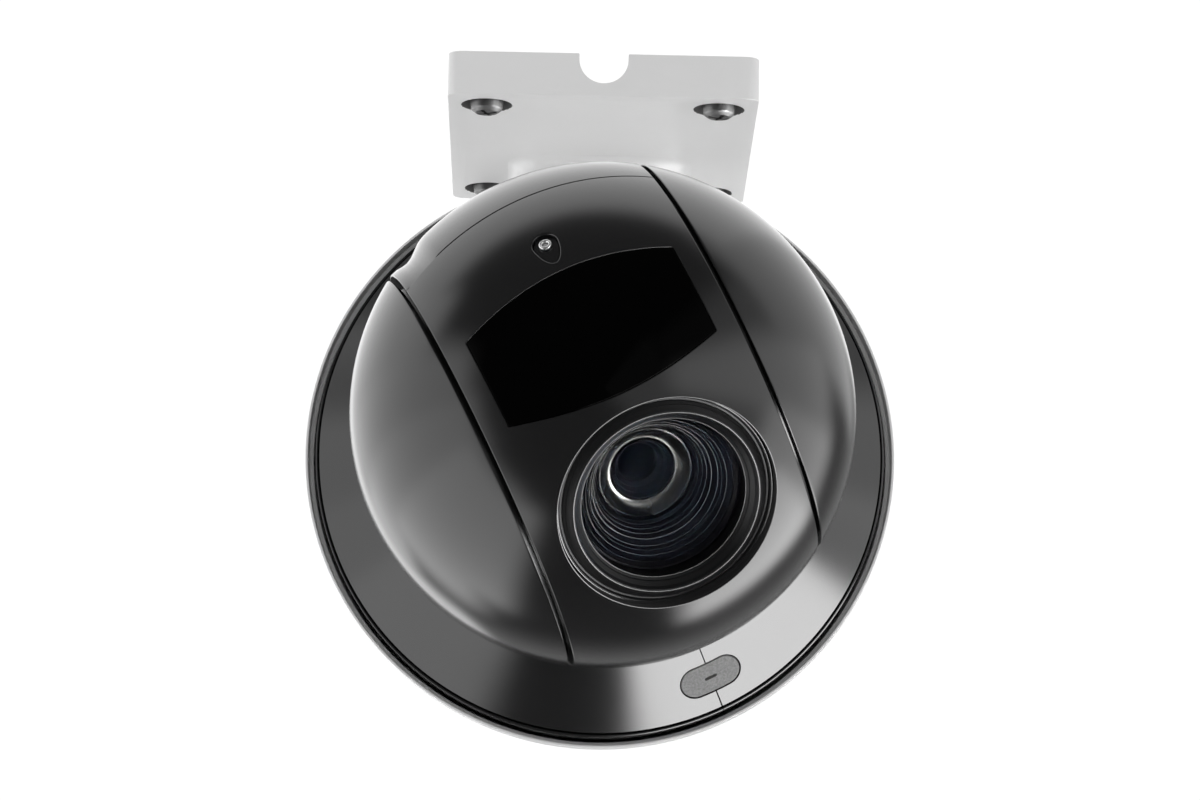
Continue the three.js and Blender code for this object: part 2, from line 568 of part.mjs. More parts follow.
// lens groups in the housing, free to slide along the lens axis
addPiece(head, "zoom_group", alongLens(turned([
  [0, 19], [9, 17.6], [9, 15], [14.4, 15], [14.4, 22], [9.6, 22], [9.6, 20.6], [0, 22.5],
], 20)), GLASS);
addPiece(head, "focus_group", alongLens(turned([
  [0, -1.5], [9, -2.6], [14.4, -2.6], [14.4, 3], [9.6, 3], [0, 1.6],
], 20)), GLASS);
addPiece(head, "ir_cut_filter", box(-13, 9, 7.4, 8.6, -7, 7), GLASS);

// axles: a flange inside the shell and a journal through the bearing
for (const side of [-1, 1]) {
  const end = side > 0 ? TILT_PULLEY.x - GAP : ARM_PLATE.outer + 3;
  const face = BAND - SHELL - GAP;
  const axle = alongX(turned([
    [0, AXLE.back], [AXLE.flange, AXLE.back], [AXLE.flange, face], [AXLE.radius, face],
    [AXLE.radius, end], [0, end],
  ], 20));
  const body = side > 0 ? axle : rotated(axle, "z", 180);
  addPiece(head, side > 0 ? "tilt_axle_right" : "tilt_axle_left", body, STEEL);
}
const tiltPulley = alongX(pulley(TILT_PULLEY.radius, PULLEY_WIDTH, 0, TILT_PULLEY.teeth));
addPiece(head, "tilt_pulley", shifted(tiltPulley, TILT_PULLEY.x, 0, 0), ALUMINIUM);

export default camera;
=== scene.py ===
"""A pan-tilt-zoom dome camera on its wall bracket, seen from below and in front, on white."""
import json
import math

import bmesh
import bpy
import numpy as np
from mathutils import Matrix, Vector
from mathutils.geometry import delaunay_2d_cdt


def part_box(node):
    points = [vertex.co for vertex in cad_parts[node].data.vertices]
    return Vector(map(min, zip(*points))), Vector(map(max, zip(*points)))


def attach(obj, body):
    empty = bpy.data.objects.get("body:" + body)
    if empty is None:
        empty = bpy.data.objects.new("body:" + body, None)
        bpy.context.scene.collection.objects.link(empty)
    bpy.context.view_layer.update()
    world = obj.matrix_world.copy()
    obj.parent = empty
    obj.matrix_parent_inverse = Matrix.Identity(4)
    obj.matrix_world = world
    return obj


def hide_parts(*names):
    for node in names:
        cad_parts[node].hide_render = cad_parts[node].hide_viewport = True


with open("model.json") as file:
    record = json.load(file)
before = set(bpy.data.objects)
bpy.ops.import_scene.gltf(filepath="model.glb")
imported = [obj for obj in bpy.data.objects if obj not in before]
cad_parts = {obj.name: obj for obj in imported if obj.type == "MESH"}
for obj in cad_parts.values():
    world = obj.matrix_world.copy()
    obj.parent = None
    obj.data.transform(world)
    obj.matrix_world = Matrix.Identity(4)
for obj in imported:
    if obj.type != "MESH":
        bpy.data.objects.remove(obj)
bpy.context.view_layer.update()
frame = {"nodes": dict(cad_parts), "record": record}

MM = 0.001
TAU = 2 * math.pi

# ---------- places, taken from the frame ----------
joints = {joint["name"]: joint for joint in frame["record"]["behaviour"]["joints"]}
tilt_axis = Vector(joints["tilt"]["axis"]).normalized()
lens_axis = Vector(joints["zoom"]["axis"]).normalized()
ball_centre = Vector(joints["tilt"]["pos_m"])
rim_low, rim_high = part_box("upper_housing")
rim_centre = Vector(((rim_low[0] + rim_high[0]) / 2, (rim_low[1] + rim_high[1]) / 2, rim_low[2]))


def axes_at(origin, x, y):
    """The matrix of a frame with the given origin, X and Y directions."""
    z = x.cross(y)
    matrix = Matrix((x, y, z)).transposed().to_4x4()
    matrix.translation = origin
    return matrix


# DOME: the rim plane's centre. YOKE: the ball's centre, with X on the tilt axis and -Y forward.
# HEAD: the ball's centre, with X on the tilt axis and -Y along the lens.
UP = Vector((0, 0, 1))
DOME = Matrix.Translation(rim_centre)
YOKE = axes_at(ball_centre, tilt_axis, UP.cross(tilt_axis))
HEAD = axes_at(ball_centre, tilt_axis, -lens_axis)
WORLD = Matrix.Identity(4)

# ---------- sizes of the fine surfaces, in millimetres ----------
BALL_R = 66.3            # radius of the smooth ball
BAND = 35.2              # half the width of the tilting band
CHEEK = 36.4             # where each cheek starts
COVER_THICK = 3.0
PART_GAP = 0.11          # gap left beside the parting plane by each cover
BALL_DROP = 53.7         # from the rim plane down to the ball's centre


# ---------- mesh helpers ----------
def new_object(name, points, faces, matrix=WORLD, material=None, sharp=42):
    """A mesh object from points in millimetres in the given frame."""
    mesh = bpy.data.meshes.new(name)
    place = [matrix @ Vector((p[0] * MM, p[1] * MM, p[2] * MM)) for p in points]
    mesh.from_pydata(place, [], [list(map(int, face)) for face in faces])
    mesh.validate()
    body = bmesh.new()
    body.from_mesh(mesh)
    bmesh.ops.remove_doubles(body, verts=body.verts, dist=1e-7)
    bmesh.ops.recalc_face_normals(body, faces=body.faces)
    body.to_mesh(mesh)
    body.free()
    mesh.polygons.foreach_set("use_smooth", [True] * len(mesh.polygons))
    mesh.set_sharp_from_angle(angle=math.radians(sharp))
    obj = bpy.data.objects.new(name, mesh)
    bpy.context.scene.collection.objects.link(obj)
    if material:
        mesh.materials.append(material)
    return obj


def finish_piece(obj, body, slot, *nodes):
    """Attaches the piece to its body and hides the CAD nodes that it stands for. The slot is not used."""
    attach(obj, body)
    if nodes:
        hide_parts(*nodes)


def rounded(profile, radii, steps=5):
    """A polyline with its corners rounded. radii is one number or one per point; the ends stay."""
    points = [np.array(p, float) for p in profile]
    if not hasattr(radii, "__len__"):
        radii = [radii] * len(points)
    out = [points[0]]
    for before, here, after, radius in zip(points, points[1:], points[2:], radii[1:]):
        a, b = before - here, after - here
        la, lb = np.linalg.norm(a), np.linalg.norm(b)
        a, b = a / la, b / lb
        half = math.acos(max(-1, min(1, float(a @ b)))) / 2
        if radius <= 0 or half > math.radians(88):
            out.append(here)
            continue
        reach = min(radius / math.tan(half), la * 0.48, lb * 0.48)
        start, end = here + a * reach, here + b * reach
        for step in range(steps + 1):
            t = step / steps
            out.append((1 - t) ** 2 * start + 2 * t * (1 - t) * here + t * t * end)
    out.append(points[-1])
    return out


def ring_profile(profile, radii, steps=5):
    """A closed profile with every corner rounded."""
    if not hasattr(radii, "__len__"):
        radii = [radii] * len(profile)
    wrapped = [profile[-1]] + list(profile) + [profile[0]]
    wrapped_radii = [0] + list(radii) + [0]
    return rounded(wrapped, wrapped_radii, steps)[1:-1]


def lathe(name, profile, matrix, material, sides=144, closed=True, arc=None, sharp=42):
    """A surface turned about the frame's Z axis, or through the arc alone.

    A closed profile makes a ring; an open one starts and ends on the axis."""
    count = len(profile)
    full = arc is None
    start, end = (0, TAU) if full else arc
    turns = sides if full else sides + 1
    points, faces = [], []
    for turn in range(turns):
        angle = start + (end - start) * turn / sides
        for radius, height in profile:
            points.append((radius * math.cos(angle), radius * math.sin(angle), height))
    span = count if closed else count - 1
    for turn in range(sides):
        following = (turn + 1) % sides if full else turn + 1
        for index in range(span):
            other = (index + 1) % count
            faces.append((turn * count + index, following * count + index,
                          following * count + other, turn * count + other))
    if not full:
        faces.append(list(range(count)))
        faces.append([(turns - 1) * count + index for index in range(count)])
    points = np.array(points)
    clean = []
    for face in faces:
        kept = []
        for corner in face:
            if not kept or np.abs(points[corner] - points[kept[-1]]).max() > 1e-7:
                kept.append(corner)
        if len(kept) > 2 and np.abs(points[kept[0]] - points[kept[-1]]).max() < 1e-7:
            kept.pop()
        if len(kept) > 2:
            clean.append(kept)
    return new_object(name, points, clean, matrix, material, sharp)


def along(matrix, axis):
    """The frame turned so that its Z runs along the given local axis."""
    quaternion = Vector((0, 0, 1)).rotation_difference(Vector(axis))
    return matrix @ quaternion.to_matrix().to_4x4()


def arc_points(centre, radius, start, end, count):
    """Points on an arc, between two angles in degrees."""
    angles = np.radians(np.linspace(start, end, count))
    return [(centre[0] + radius * math.cos(a), centre[1] + radius * math.sin(a)) for a in angles]


def resample(loop, spacing):
    """A closed outline with straight stretches cut to the spacing; its corners stay."""
    loop = np.array(loop, float)
    out = []
    for here, after in zip(loop, np.roll(loop, -1, axis=0)):
        length = np.linalg.norm(after - here)
        cuts = max(1, int(round(length / spacing)))
        out += [here + (after - here) * cut / cuts for cut in range(cuts)]
    return np.array(out)


def offset(loop, distance):
    """Moves a closed anticlockwise outline to its left, which is inwards, by the distance."""
    before, after = np.roll(loop, 1, axis=0), np.roll(loop, -1, axis=0)
    a, b = loop - before, after - loop
    a /= np.linalg.norm(a, axis=1)[:, None]
    b /= np.linalg.norm(b, axis=1)[:, None]
    na, nb = np.c_[-a[:, 1], a[:, 0]], np.c_[-b[:, 1], b[:, 0]]
    mid = na + nb
    mid /= np.linalg.norm(mid, axis=1)[:, None]
    stretch = np.clip((mid * na).sum(1), 0.35, 1)
    return loop + mid * (distance / stretch)[:, None]


def anticlockwise(loop):
    loop = np.array(loop, float)
    x, y = loop[:, 0], loop[:, 1]
    area = (x * np.roll(y, -1) - y * np.roll(x, -1)).sum()
    return loop if area > 0 else loop[::-1]


def inside(points, loop):
    """Which points lie in a closed outline."""
    result = np.zeros(len(points), bool)
    for (x0, y0), (x1, y1) in zip(loop, np.roll(loop, -1, axis=0)):
        crosses = (y0 > points[:, 1]) != (y1 > points[:, 1])
        with np.errstate(divide="ignore", invalid="ignore"):
            at = (x1 - x0) * (points[:, 1] - y0) / (y1 - y0) + x0
        result ^= crosses & (points[:, 0] < at)
    return result


def surface_normals(surface, uv, step=0.02):
    """Outward normals of a surface at the (u, v) points, and its tangent directions along u and v."""
    u, v = uv[:, 0], uv[:, 1]
    flat, below = np.zeros(len(uv)), np.full(len(uv), 0.05)
    along_u = surface(u + step, v, flat) - surface(u - step, v, flat)
    along_v = surface(u, v + step, flat) - surface(u, v - step, flat)
    along_u /= np.linalg.norm(along_u, axis=1)[:, None]
    along_v /= np.linalg.norm(along_v, axis=1)[:, None]
    normal = np.cross(along_u, along_v)
    normal /= np.linalg.norm(normal, axis=1)[:, None]
    outward = surface(u, v, flat) - surface(u, v, below)
    normal *= np.sign((normal * outward).sum(1))[:, None]
    return normal, along_u, along_v


def triangulated(tops, spacing):
    """Triangles of the area inside the first loop and outside the others, and where each point went."""
    low, high = tops[0].min(0), tops[0].max(0)
    grid = np.array([(u, v) for u in np.arange(low[0] + spacing / 2, high[0], spacing)
                     for v in np.arange(low[1] + spacing / 2, high[1], spacing)])
    keep = inside(grid, tops[0])
    for top in tops[1:]:
        keep &= ~inside(grid, top)
    for top in tops:
        gap = np.full(len(grid), 1e9)
        for point in top:
            gap = np.minimum(gap, ((grid - point) ** 2).sum(1))
        keep &= gap > (spacing * 0.4) ** 2
    flat = [Vector(p) for top in tops for p in top] + [Vector(p) for p in grid[keep]]
    lines, first = [], 0
    for top in tops:
        lines += [(first + i, first + (i + 1) % len(top)) for i in range(len(top))]
        first += len(top)
    verts, _, tris, origin, _, _ = delaunay_2d_cdt(flat, lines, [], 0, 1e-6)
    where = {source: index for index, sources in enumerate(origin) for source in sources}
    verts = np.array([tuple(v) for v in verts])
    centres = np.array([verts[list(tri)].mean(0) for tri in tris])
    good = inside(centres, tops[0])
    for top in tops[1:]:
        good &= ~inside(centres, top)
    return verts, [tuple(tri) for tri, ok in zip(tris, good) if ok], where


def patch(name, surface, outline, holes, thick, material, matrix, edge, spacing=2.2, hole_edges=()):
    """A shell over a curved surface, with rounded edges at its outline and its holes.

    surface(u, v, depth) gives the points; outline and holes are closed loops in (u, v). edge and hole_edges
    are the roundings' radii. The shading normals are the surface's own, so that reflections stay clean."""
    outline = anticlockwise(outline)
    holes = [anticlockwise(hole)[::-1] for hole in holes]
    edges = [edge] + list(hole_edges)
    loops = [outline] + holes
    tops = [offset(loop, radius) for loop, radius in zip(loops, edges)]
    verts, tris, where = triangulated(tops, spacing)
    count = len(verts)
    normal, _, _ = surface_normals(surface, verts)
    points = [surface(verts[:, 0], verts[:, 1], np.zeros(count)),
              surface(verts[:, 0], verts[:, 1], np.full(count, thick))]
    normals = [normal, -normal]
    faces = list(tris) + [tuple(i + count for i in tri) for tri in tris]
    corners = [[None] * 3 for _ in faces]
    total, first = 2 * count, 0
    for loop, radius, top in zip(loops, edges, tops):
        size = len(loop)
        last = [where[first + i] for i in range(size)]
        bottom = [i + count for i in last]
        up, along_u, along_v = surface_normals(surface, loop)
        out = offset(loop, -0.5) - loop
        side = along_u * out[:, :1] + along_v * out[:, 1:]
        side -= up * (side * up).sum(1)[:, None]
        side /= np.linalg.norm(side, axis=1)[:, None]
        steps = 5
        for step in range(1, steps + 2):
            angle = math.pi / 2 * min(step, steps) / steps
            ring = offset(loop, radius * (1 - math.sin(angle))) if step < steps else loop
            depth = radius * (1 - math.cos(angle)) if step <= steps else thick
            points.append(surface(ring[:, 0], ring[:, 1], np.full(size, depth)))
            normals.append(up * math.cos(angle) + side * math.sin(angle))
            here = list(range(total, total + size))
            total += size
            faces += [(last[i], last[(i + 1) % size], here[(i + 1) % size], here[i]) for i in range(size)]
            corners += [[None] * 4 for _ in range(size)]
            last = here
        faces += [(last[i], last[(i + 1) % size], bottom[(i + 1) % size], bottom[i]) for i in range(size)]
        corners += [[-up[i], -up[(i + 1) % size], None, None] for i in range(size)]
        first += size
    return shaded_object(name, np.concatenate(points), np.concatenate(normals), faces, corners,
                         matrix, material)


def shaded_object(name, points, normals, faces, corners, matrix, material):
    """A mesh with given normals: one per point, unless a face's corner has its own."""
    turn = np.array(matrix.to_3x3())
    place = points @ turn.T * MM + np.array(matrix.translation)
    final_faces, loop_normals = [], []
    for face, own in zip(faces, corners):
        face_normals = [normals[i] if n is None else n for i, n in zip(face, own)]
        a, b, c = points[face[0]], points[face[1]], points[face[2]]
        flat = np.cross(b - a, c - a)
        if len(face) == 4:
            flat = flat + np.cross(c - a, points[face[3]] - a)
        if flat @ sum(face_normals) < 0:
            face, face_normals = face[::-1], face_normals[::-1]
        final_faces.append([int(i) for i in face])
        loop_normals += face_normals
    mesh = bpy.data.meshes.new(name)
    mesh.from_pydata(place.tolist(), [], final_faces)
    mesh.polygons.foreach_set("use_smooth", [True] * len(mesh.polygons))
    mesh.normals_split_custom_set((np.array(loop_normals) @ turn.T).tolist())
    obj = bpy.data.objects.new(name, mesh)
    bpy.context.scene.collection.objects.link(obj)
    mesh.materials.append(material)
    return obj


# ---------- materials ----------
NOISE_LOW, NOISE_HIGH = 0.3, 0.7     # the range that most of a noise texture's values lie in


def nodes_of(name, color, roughness, metallic=0.0):
    """A new material, its node tree and its shader."""
    material = bpy.data.materials.new(name)
    material.use_nodes = True
    tree = material.node_tree
    shader = tree.nodes["Principled BSDF"]
    shader.inputs["Base Color"].default_value = (*color, 1)
    shader.inputs["Roughness"].default_value = roughness
    shader.inputs["Metallic"].default_value = metallic
    return material, tree, shader


def add_node(tree, kind, **values):
    """A new node with its inputs set. A keyword names an input, with _ for a space."""
    node = tree.nodes.new("ShaderNode" + kind)
    for name, value in values.items():
        node.inputs[name.replace("_", " ")].default_value = value
    return node


def mixed(tree, *sources):
    """A blend of two shaders; the sources are the factor and the shaders."""
    mix = add_node(tree, "MixShader")
    for socket, source in zip(mix.inputs, sources):
        tree.links.new(source, socket)
    return mix.outputs["Shader"]


def add_noise(tree, scale, detail=4.0, roughness=0.5, stretch=None):
    """A noise texture in object space, which may be stretched along the axes."""
    noise = add_node(tree, "TexNoise", Scale=scale, Detail=detail, Roughness=roughness)
    source = add_node(tree, "TexCoord").outputs["Object"]
    if stretch:
        mapping = add_node(tree, "Mapping", Scale=stretch)
        tree.links.new(source, mapping.inputs["Vector"])
        source = mapping.outputs["Vector"]
    tree.links.new(source, noise.inputs["Vector"])
    return noise


def add_range(tree, source, low, high, from_low=NOISE_LOW, from_high=NOISE_HIGH):
    """Maps a value from one range to another, clamped at both ends."""
    ranger = add_node(tree, "MapRange", From_Min=from_low, From_Max=from_high, To_Min=low, To_Max=high)
    tree.links.new(source, ranger.inputs["Value"])
    return ranger.outputs["Result"]


def add_bump(tree, shader, source, distance):
    """Raises the surface by up to the distance, in metres."""
    bump = add_node(tree, "Bump", Distance=distance, Strength=1.0)
    tree.links.new(source, bump.inputs["Height"])
    tree.links.new(bump.outputs["Normal"], shader.inputs["Normal"])


def add_tint(tree, shader, source, dark, light):
    """Varies the base colour between two colours."""
    ramp = add_node(tree, "ValToRGB")
    ramp.color_ramp.elements[0].position = NOISE_LOW
    ramp.color_ramp.elements[1].position = NOISE_HIGH
    ramp.color_ramp.elements[0].color = (*dark, 1)
    ramp.color_ramp.elements[1].color = (*light, 1)
    tree.links.new(source, ramp.inputs["Fac"])
    tree.links.new(ramp.outputs["Color"], shader.inputs["Base Color"])


def moulded(name, color, roughness, spread=0.05, grain=0.00001, specular=0.5, shade=0.07):
    """Moulded or painted plastic: a fine orange peel, and slight unevenness in gloss and colour."""
    material, tree, shader = nodes_of(name, color, roughness)
    cloud = add_noise(tree, 38.0, 5.0, 0.55)
    tree.links.new(add_range(tree, cloud.outputs["Fac"], roughness - spread, roughness + spread),
                   shader.inputs["Roughness"])
    dark = [c * (1 - shade) for c in color]
    light = [min(1, c * (1 + shade)) for c in color]
    add_tint(tree, shader, cloud.outputs["Fac"], dark, light)
    peel = add_noise(tree, 900.0, 2.0, 0.5)
    add_bump(tree, shader, peel.outputs["Fac"], grain)
    shader.inputs["Specular IOR Level"].default_value = specular
    return material


def metal(name, color, roughness, stretch=(1, 1, 12), scale=700.0):
    """Machined metal with fine tool marks."""
    material, tree, shader = nodes_of(name, color, roughness, 1.0)
    marks = add_noise(tree, scale, 3.0, 0.6, stretch)
    tree.links.new(add_range(tree, marks.outputs["Fac"], roughness * 0.7, roughness * 1.4),
                   shader.inputs["Roughness"])
    cloud = add_noise(tree, 60.0, 4.0)
    add_tint(tree, shader, cloud.outputs["Fac"], [c * 0.85 for c in color], color)
    add_bump(tree, shader, marks.outputs["Fac"], 0.00001)
    return material


def rubber(name, color, grain=0.00008, scale=1500.0):
    """Matt rubber with a fine grain."""
    material, tree, shader = nodes_of(name, color, 0.75)
    noise = add_noise(tree, scale, 3.0, 0.7)
    dark = [c * 0.72 for c in color]
    light = [min(1, c * 1.25) for c in color]
    add_tint(tree, shader, noise.outputs["Fac"], dark, light)
    add_bump(tree, shader, noise.outputs["Fac"], grain)
    return material


def board_green(name):
    """Solder mask over a circuit board."""
    material, tree, shader = nodes_of(name, (0.02, 0.12, 0.06), 0.45)
    noise = add_noise(tree, 120.0, 6.0, 0.7)
    add_tint(tree, shader, noise.outputs["Fac"], (0.012, 0.085, 0.04), (0.03, 0.17, 0.09))
    add_bump(tree, shader, noise.outputs["Fac"], 0.00004)
    return material


def coated_glass(name, tint, straight_on, grazing):
    """Coated lens glass: clear, with a tinted reflection that grows at grazing angles."""
    material = bpy.data.materials.new(name)
    material.use_nodes = True
    tree = material.node_tree
    tree.nodes.remove(tree.nodes["Principled BSDF"])
    see = add_node(tree, "BsdfTransparent")
    shine = add_node(tree, "BsdfGlossy", Color=(*tint, 1), Roughness=0.03)
    facing = add_node(tree, "LayerWeight").outputs["Facing"]
    amount = add_range(tree, facing, straight_on, grazing, 0.3, 1.0)
    surface = mixed(tree, amount, see.outputs["BSDF"], shine.outputs["BSDF"])
    tree.links.new(surface, tree.nodes["Material Output"].inputs["Surface"])
    return material


WHITE = moulded("white_paint", (0.80, 0.80, 0.80), 0.38, 0.04, 0.000012, shade=0.012)
BALL_BLACK = moulded("ball_black", (0.008, 0.008, 0.0083), 0.2, 0.015, 0.000001)
SKIRT_BLACK = moulded("skirt_black", (0.010, 0.010, 0.0103), 0.18, 0.015, 0.000001)
BEZEL_BLACK = moulded("bezel_black", (0.006, 0.006, 0.0065), 0.42, 0.03, 0.000001, specular=0.3)
LIP_BLACK = moulded("lip_black", (0.02, 0.02, 0.021), 0.16, 0.02, 0.0000005, specular=0.8)
INNER_BLACK = moulded("inner_black", (0.004, 0.004, 0.005), 0.35, 0.05, 0.000003)
WINDOW_BLACK = moulded("window_black", (0.0008, 0.0008, 0.0008), 0.08, 0.01, 0.0000005, specular=0.03)
PAD_GREY = rubber("pad_grey", (0.28, 0.28, 0.28))
SEAL = rubber("seal_rubber", (0.02, 0.02, 0.02), 0.00003)
STEEL = metal("steel", (0.55, 0.55, 0.56), 0.3)
SCREW = metal("screw_steel", (0.16, 0.16, 0.16), 0.42, (1, 8, 1))
# dark grey for the walls of the counterbores and screw holes, much darker than the white paint round them
BORE_GREY = moulded("bore_grey", (0.11, 0.11, 0.11), 0.5, 0.08, 0.00003)
ALUMINIUM = metal("aluminium", (0.68, 0.68, 0.7), 0.35)
BOARD = board_green("board_green")
GLASS = coated_glass("lens_glass", (0.5, 0.7, 1.0), 0.0004, 0.08)
INNER_GLASS = coated_glass("inner_glass", (0.6, 0.7, 1.0), 0.0003, 0.05)
SENSOR_METAL = metal("sensor_metal", (0.9, 0.9, 0.9), 0.3)
SENSOR_EYE = moulded("sensor_eye", (0.3, 0.3, 0.3), 0.1, 0.02)
THROAT = moulded("throat_black", (0.003, 0.003, 0.005), 0.34, 0.03, 0.0, specular=0.13)
RETAINER = metal("retainer", (0.2, 0.2, 0.19), 0.26, (1, 1, 1), 30.0)


# ---------- the tilting head ----------
def ball_surface(sign):
    """Front (sign 1) or rear (sign -1) half of the band.

    u is across the band, and v is the arc length round it from the lens axis."""
    def surface(u, v, depth):
        radius = np.sqrt((BALL_R - depth) ** 2 - u ** 2)
        angle = v / BALL_R
        return np.c_[u, -sign * radius * np.cos(angle), radius * np.sin(angle)]
    return surface


def band_outline(width, gap, spacing=1.0):
    """The outline of half the band, up to the parting plane."""
    u = np.linspace(-width, width, int(2 * width / spacing))
    reach = BALL_R * (math.pi / 2 - gap / np.sqrt(BALL_R ** 2 - u ** 2))
    top = list(zip(u[::-1], reach[::-1]))
    bottom = list(zip(u, -reach))
    return resample(bottom + top, spacing)


def on_band(x, angle):
    """The (u, v) of a place on the band at an angle from the lens axis, in degrees."""
    return x, math.radians(angle) * BALL_R


def lens_hole(radius, count=160):
    """A circle round the lens axis, laid on the band."""
    loop = []
    for angle in np.linspace(0, TAU, count, endpoint=False):
        x, z = radius * math.cos(angle), radius * math.sin(angle)
        loop.append((x, math.atan2(z, math.sqrt(BALL_R ** 2 - radius ** 2)) * BALL_R))
    return loop


LENS_HOLE = 28.8
# the infrared window: half its width, and the angles of its two bowed edges at the corners and the middle
WINDOW_HALF = 29.0
WINDOW_NEAR, WINDOW_NEAR_MID = -34.0, -29.6
WINDOW_FAR, WINDOW_FAR_MID = -58.5, -61.5
WINDOW_GAP, WINDOW_SUNK, WINDOW_THICK = 0.14, 0.12, 1.8


def window_outline(corner=0.7, spacing=0.6):
    """Straight sides, and two bowed edges that bulge away from the window's middle."""
    def bowed(x, at_corner, at_middle):
        return on_band(x, at_corner + (at_middle - at_corner) * (1 - (x / WINDOW_HALF) ** 2))
    across = np.linspace(-WINDOW_HALF, WINDOW_HALF, 41)
    near = [bowed(x, WINDOW_NEAR, WINDOW_NEAR_MID) for x in across[::-1]]
    far = [bowed(x, WINDOW_FAR, WINDOW_FAR_MID) for x in across]
    radii = [0] * len(far + near)
    for index in (0, len(far) - 1, len(far), len(far) + len(near) - 1):
        radii[index] = corner
    return resample(ring_profile(far + near, radii, 4), spacing)


# the light sensor: its angle, and its drop-shaped recess, which is long on the window's side
SENSOR_AT = -70.5
DROP_HALF, DROP_LONG, DROP_SHORT, DROP_TAPER = 3.3, 7.2, 3.4, 0.12
EYE_R = 0.75


def sensor_outline(count=64):
    """A drop shape: round at the sensor and longer towards the window."""
    loop = []
    for angle in np.linspace(0, TAU, count, endpoint=False):
        u = DROP_HALF * math.cos(angle)
        stretch = DROP_LONG if math.sin(angle) > 0 else DROP_SHORT
        v = math.radians(SENSOR_AT) * BALL_R + stretch * math.sin(angle)
        loop.append((u * (1 - DROP_TAPER * max(0, math.sin(angle))), v))
    return loop


def front_cover():
    obj = patch("head_front_shell", ball_surface(1), band_outline(BAND, PART_GAP),
                [lens_hole(LENS_HOLE), window_outline(), sensor_outline()], COVER_THICK, BALL_BLACK, HEAD,
                edge=0.3, hole_edges=[0.3, 0.3, 0.5])
    finish_piece(obj, "head", "ball_dark", "head_front_cover")


# the rear cover's hollow: where it starts across the band, and how it fades out below the upper parting line
DIP = {"from": 23.5, "lip": 1.0, "run": 4.5, "depth": 1.6}


def rear_cover():
    smooth = ball_surface(-1)

    def dipped(u, v, depth):
        """The rear half, with a groove beside one seam that runs on to the lower parting line."""
        across = np.clip((u - DIP["from"]) / (BAND - DIP["from"]), 0, 1)
        behind = np.clip((math.pi / 2 * BALL_R - v - DIP["lip"]) / DIP["run"], 0, 1)
        shape = np.sin(np.pi * across) ** 2 * behind ** 2 * (3 - 2 * behind)
        return smooth(u, v, depth + DIP["depth"] * shape * (1 - depth / (2 * COVER_THICK)))
    obj = patch("head_rear_shell", dipped, band_outline(BAND, PART_GAP), [], COVER_THICK, BALL_BLACK,
                HEAD, edge=0.3, spacing=1.6)
    finish_piece(obj, "head", "ball_dark", "head_rear_cover")


def window():
    outline = offset(anticlockwise(window_outline()), WINDOW_GAP)
    surface = ball_surface(1)
    obj = patch("ir_window_pane", lambda u, v, depth: surface(u, v, depth + WINDOW_SUNK), outline, [],
                WINDOW_THICK, WINDOW_BLACK, HEAD, edge=0.18, spacing=1.6)
    finish_piece(obj, "head", "window_black", "ir_window")


def at_angle(angle):
    """A frame on the head whose Z points out of the ball at an angle from the lens axis."""
    direction = (0, -math.cos(math.radians(angle)), math.sin(math.radians(angle)))
    return along(HEAD, direction)


def light_sensor():
    """A little domed sensor in a bright collar, at the bottom of its drop-shaped recess."""
    place = at_angle(SENSOR_AT)
    surface = ball_surface(1)
    outline = offset(anticlockwise(sensor_outline()), 0.1)
    floor = patch("sensor_recess", lambda u, v, depth: surface(u, v, depth + 1.1), outline, [], 1.2,
                  BALL_BLACK, HEAD, edge=0.1, spacing=0.8)
    finish_piece(floor, "head", "ball_dark")
    top = BALL_R - 0.1
    tube = [(1.25 + 0.5 * math.cos(a), top - 0.6 + 0.6 * math.sin(a))
            for a in np.linspace(0, TAU, 24, endpoint=False)]
    collar = lathe("sensor_collar", tube, place, SENSOR_METAL, 64)
    finish_piece(collar, "head", "steel")
    crown = [(EYE_R * math.cos(a), top - 1.0 + 0.6 * math.sin(a))
             for a in np.linspace(0, math.pi / 2, 10)[:-1]]
    dome = [(0, top - 2.2), (EYE_R, top - 2.2)] + crown + [(0, top - 0.4)]
    eye = lathe("sensor_eye", dome, place, SENSOR_EYE, 48, closed=False)
    finish_piece(eye, "head", "lens_glass", "light_sensor")


LENS = along(HEAD, (0, -1, 0))     # Z runs out along the lens


def lip(name, radius, height, size, material, slot):
    """A thin polished ridge on the bezel or in the throat."""
    loop = arc_points((radius, height), size, 0, 337.5, 16)
    ring = lathe(name, loop, LENS, material, 192, sharp=80)
    finish_piece(ring, "head", slot)


GLASS_R, GLASS_FLAT = 21.2, 20.8            # the front glass, and the radius inside its edge
GLASS_BACK, GLASS_FRONT = 52.4, 53.4        # its faces' heights at the edge
INNER_R, INNER_BACK = 8.4, 36.4


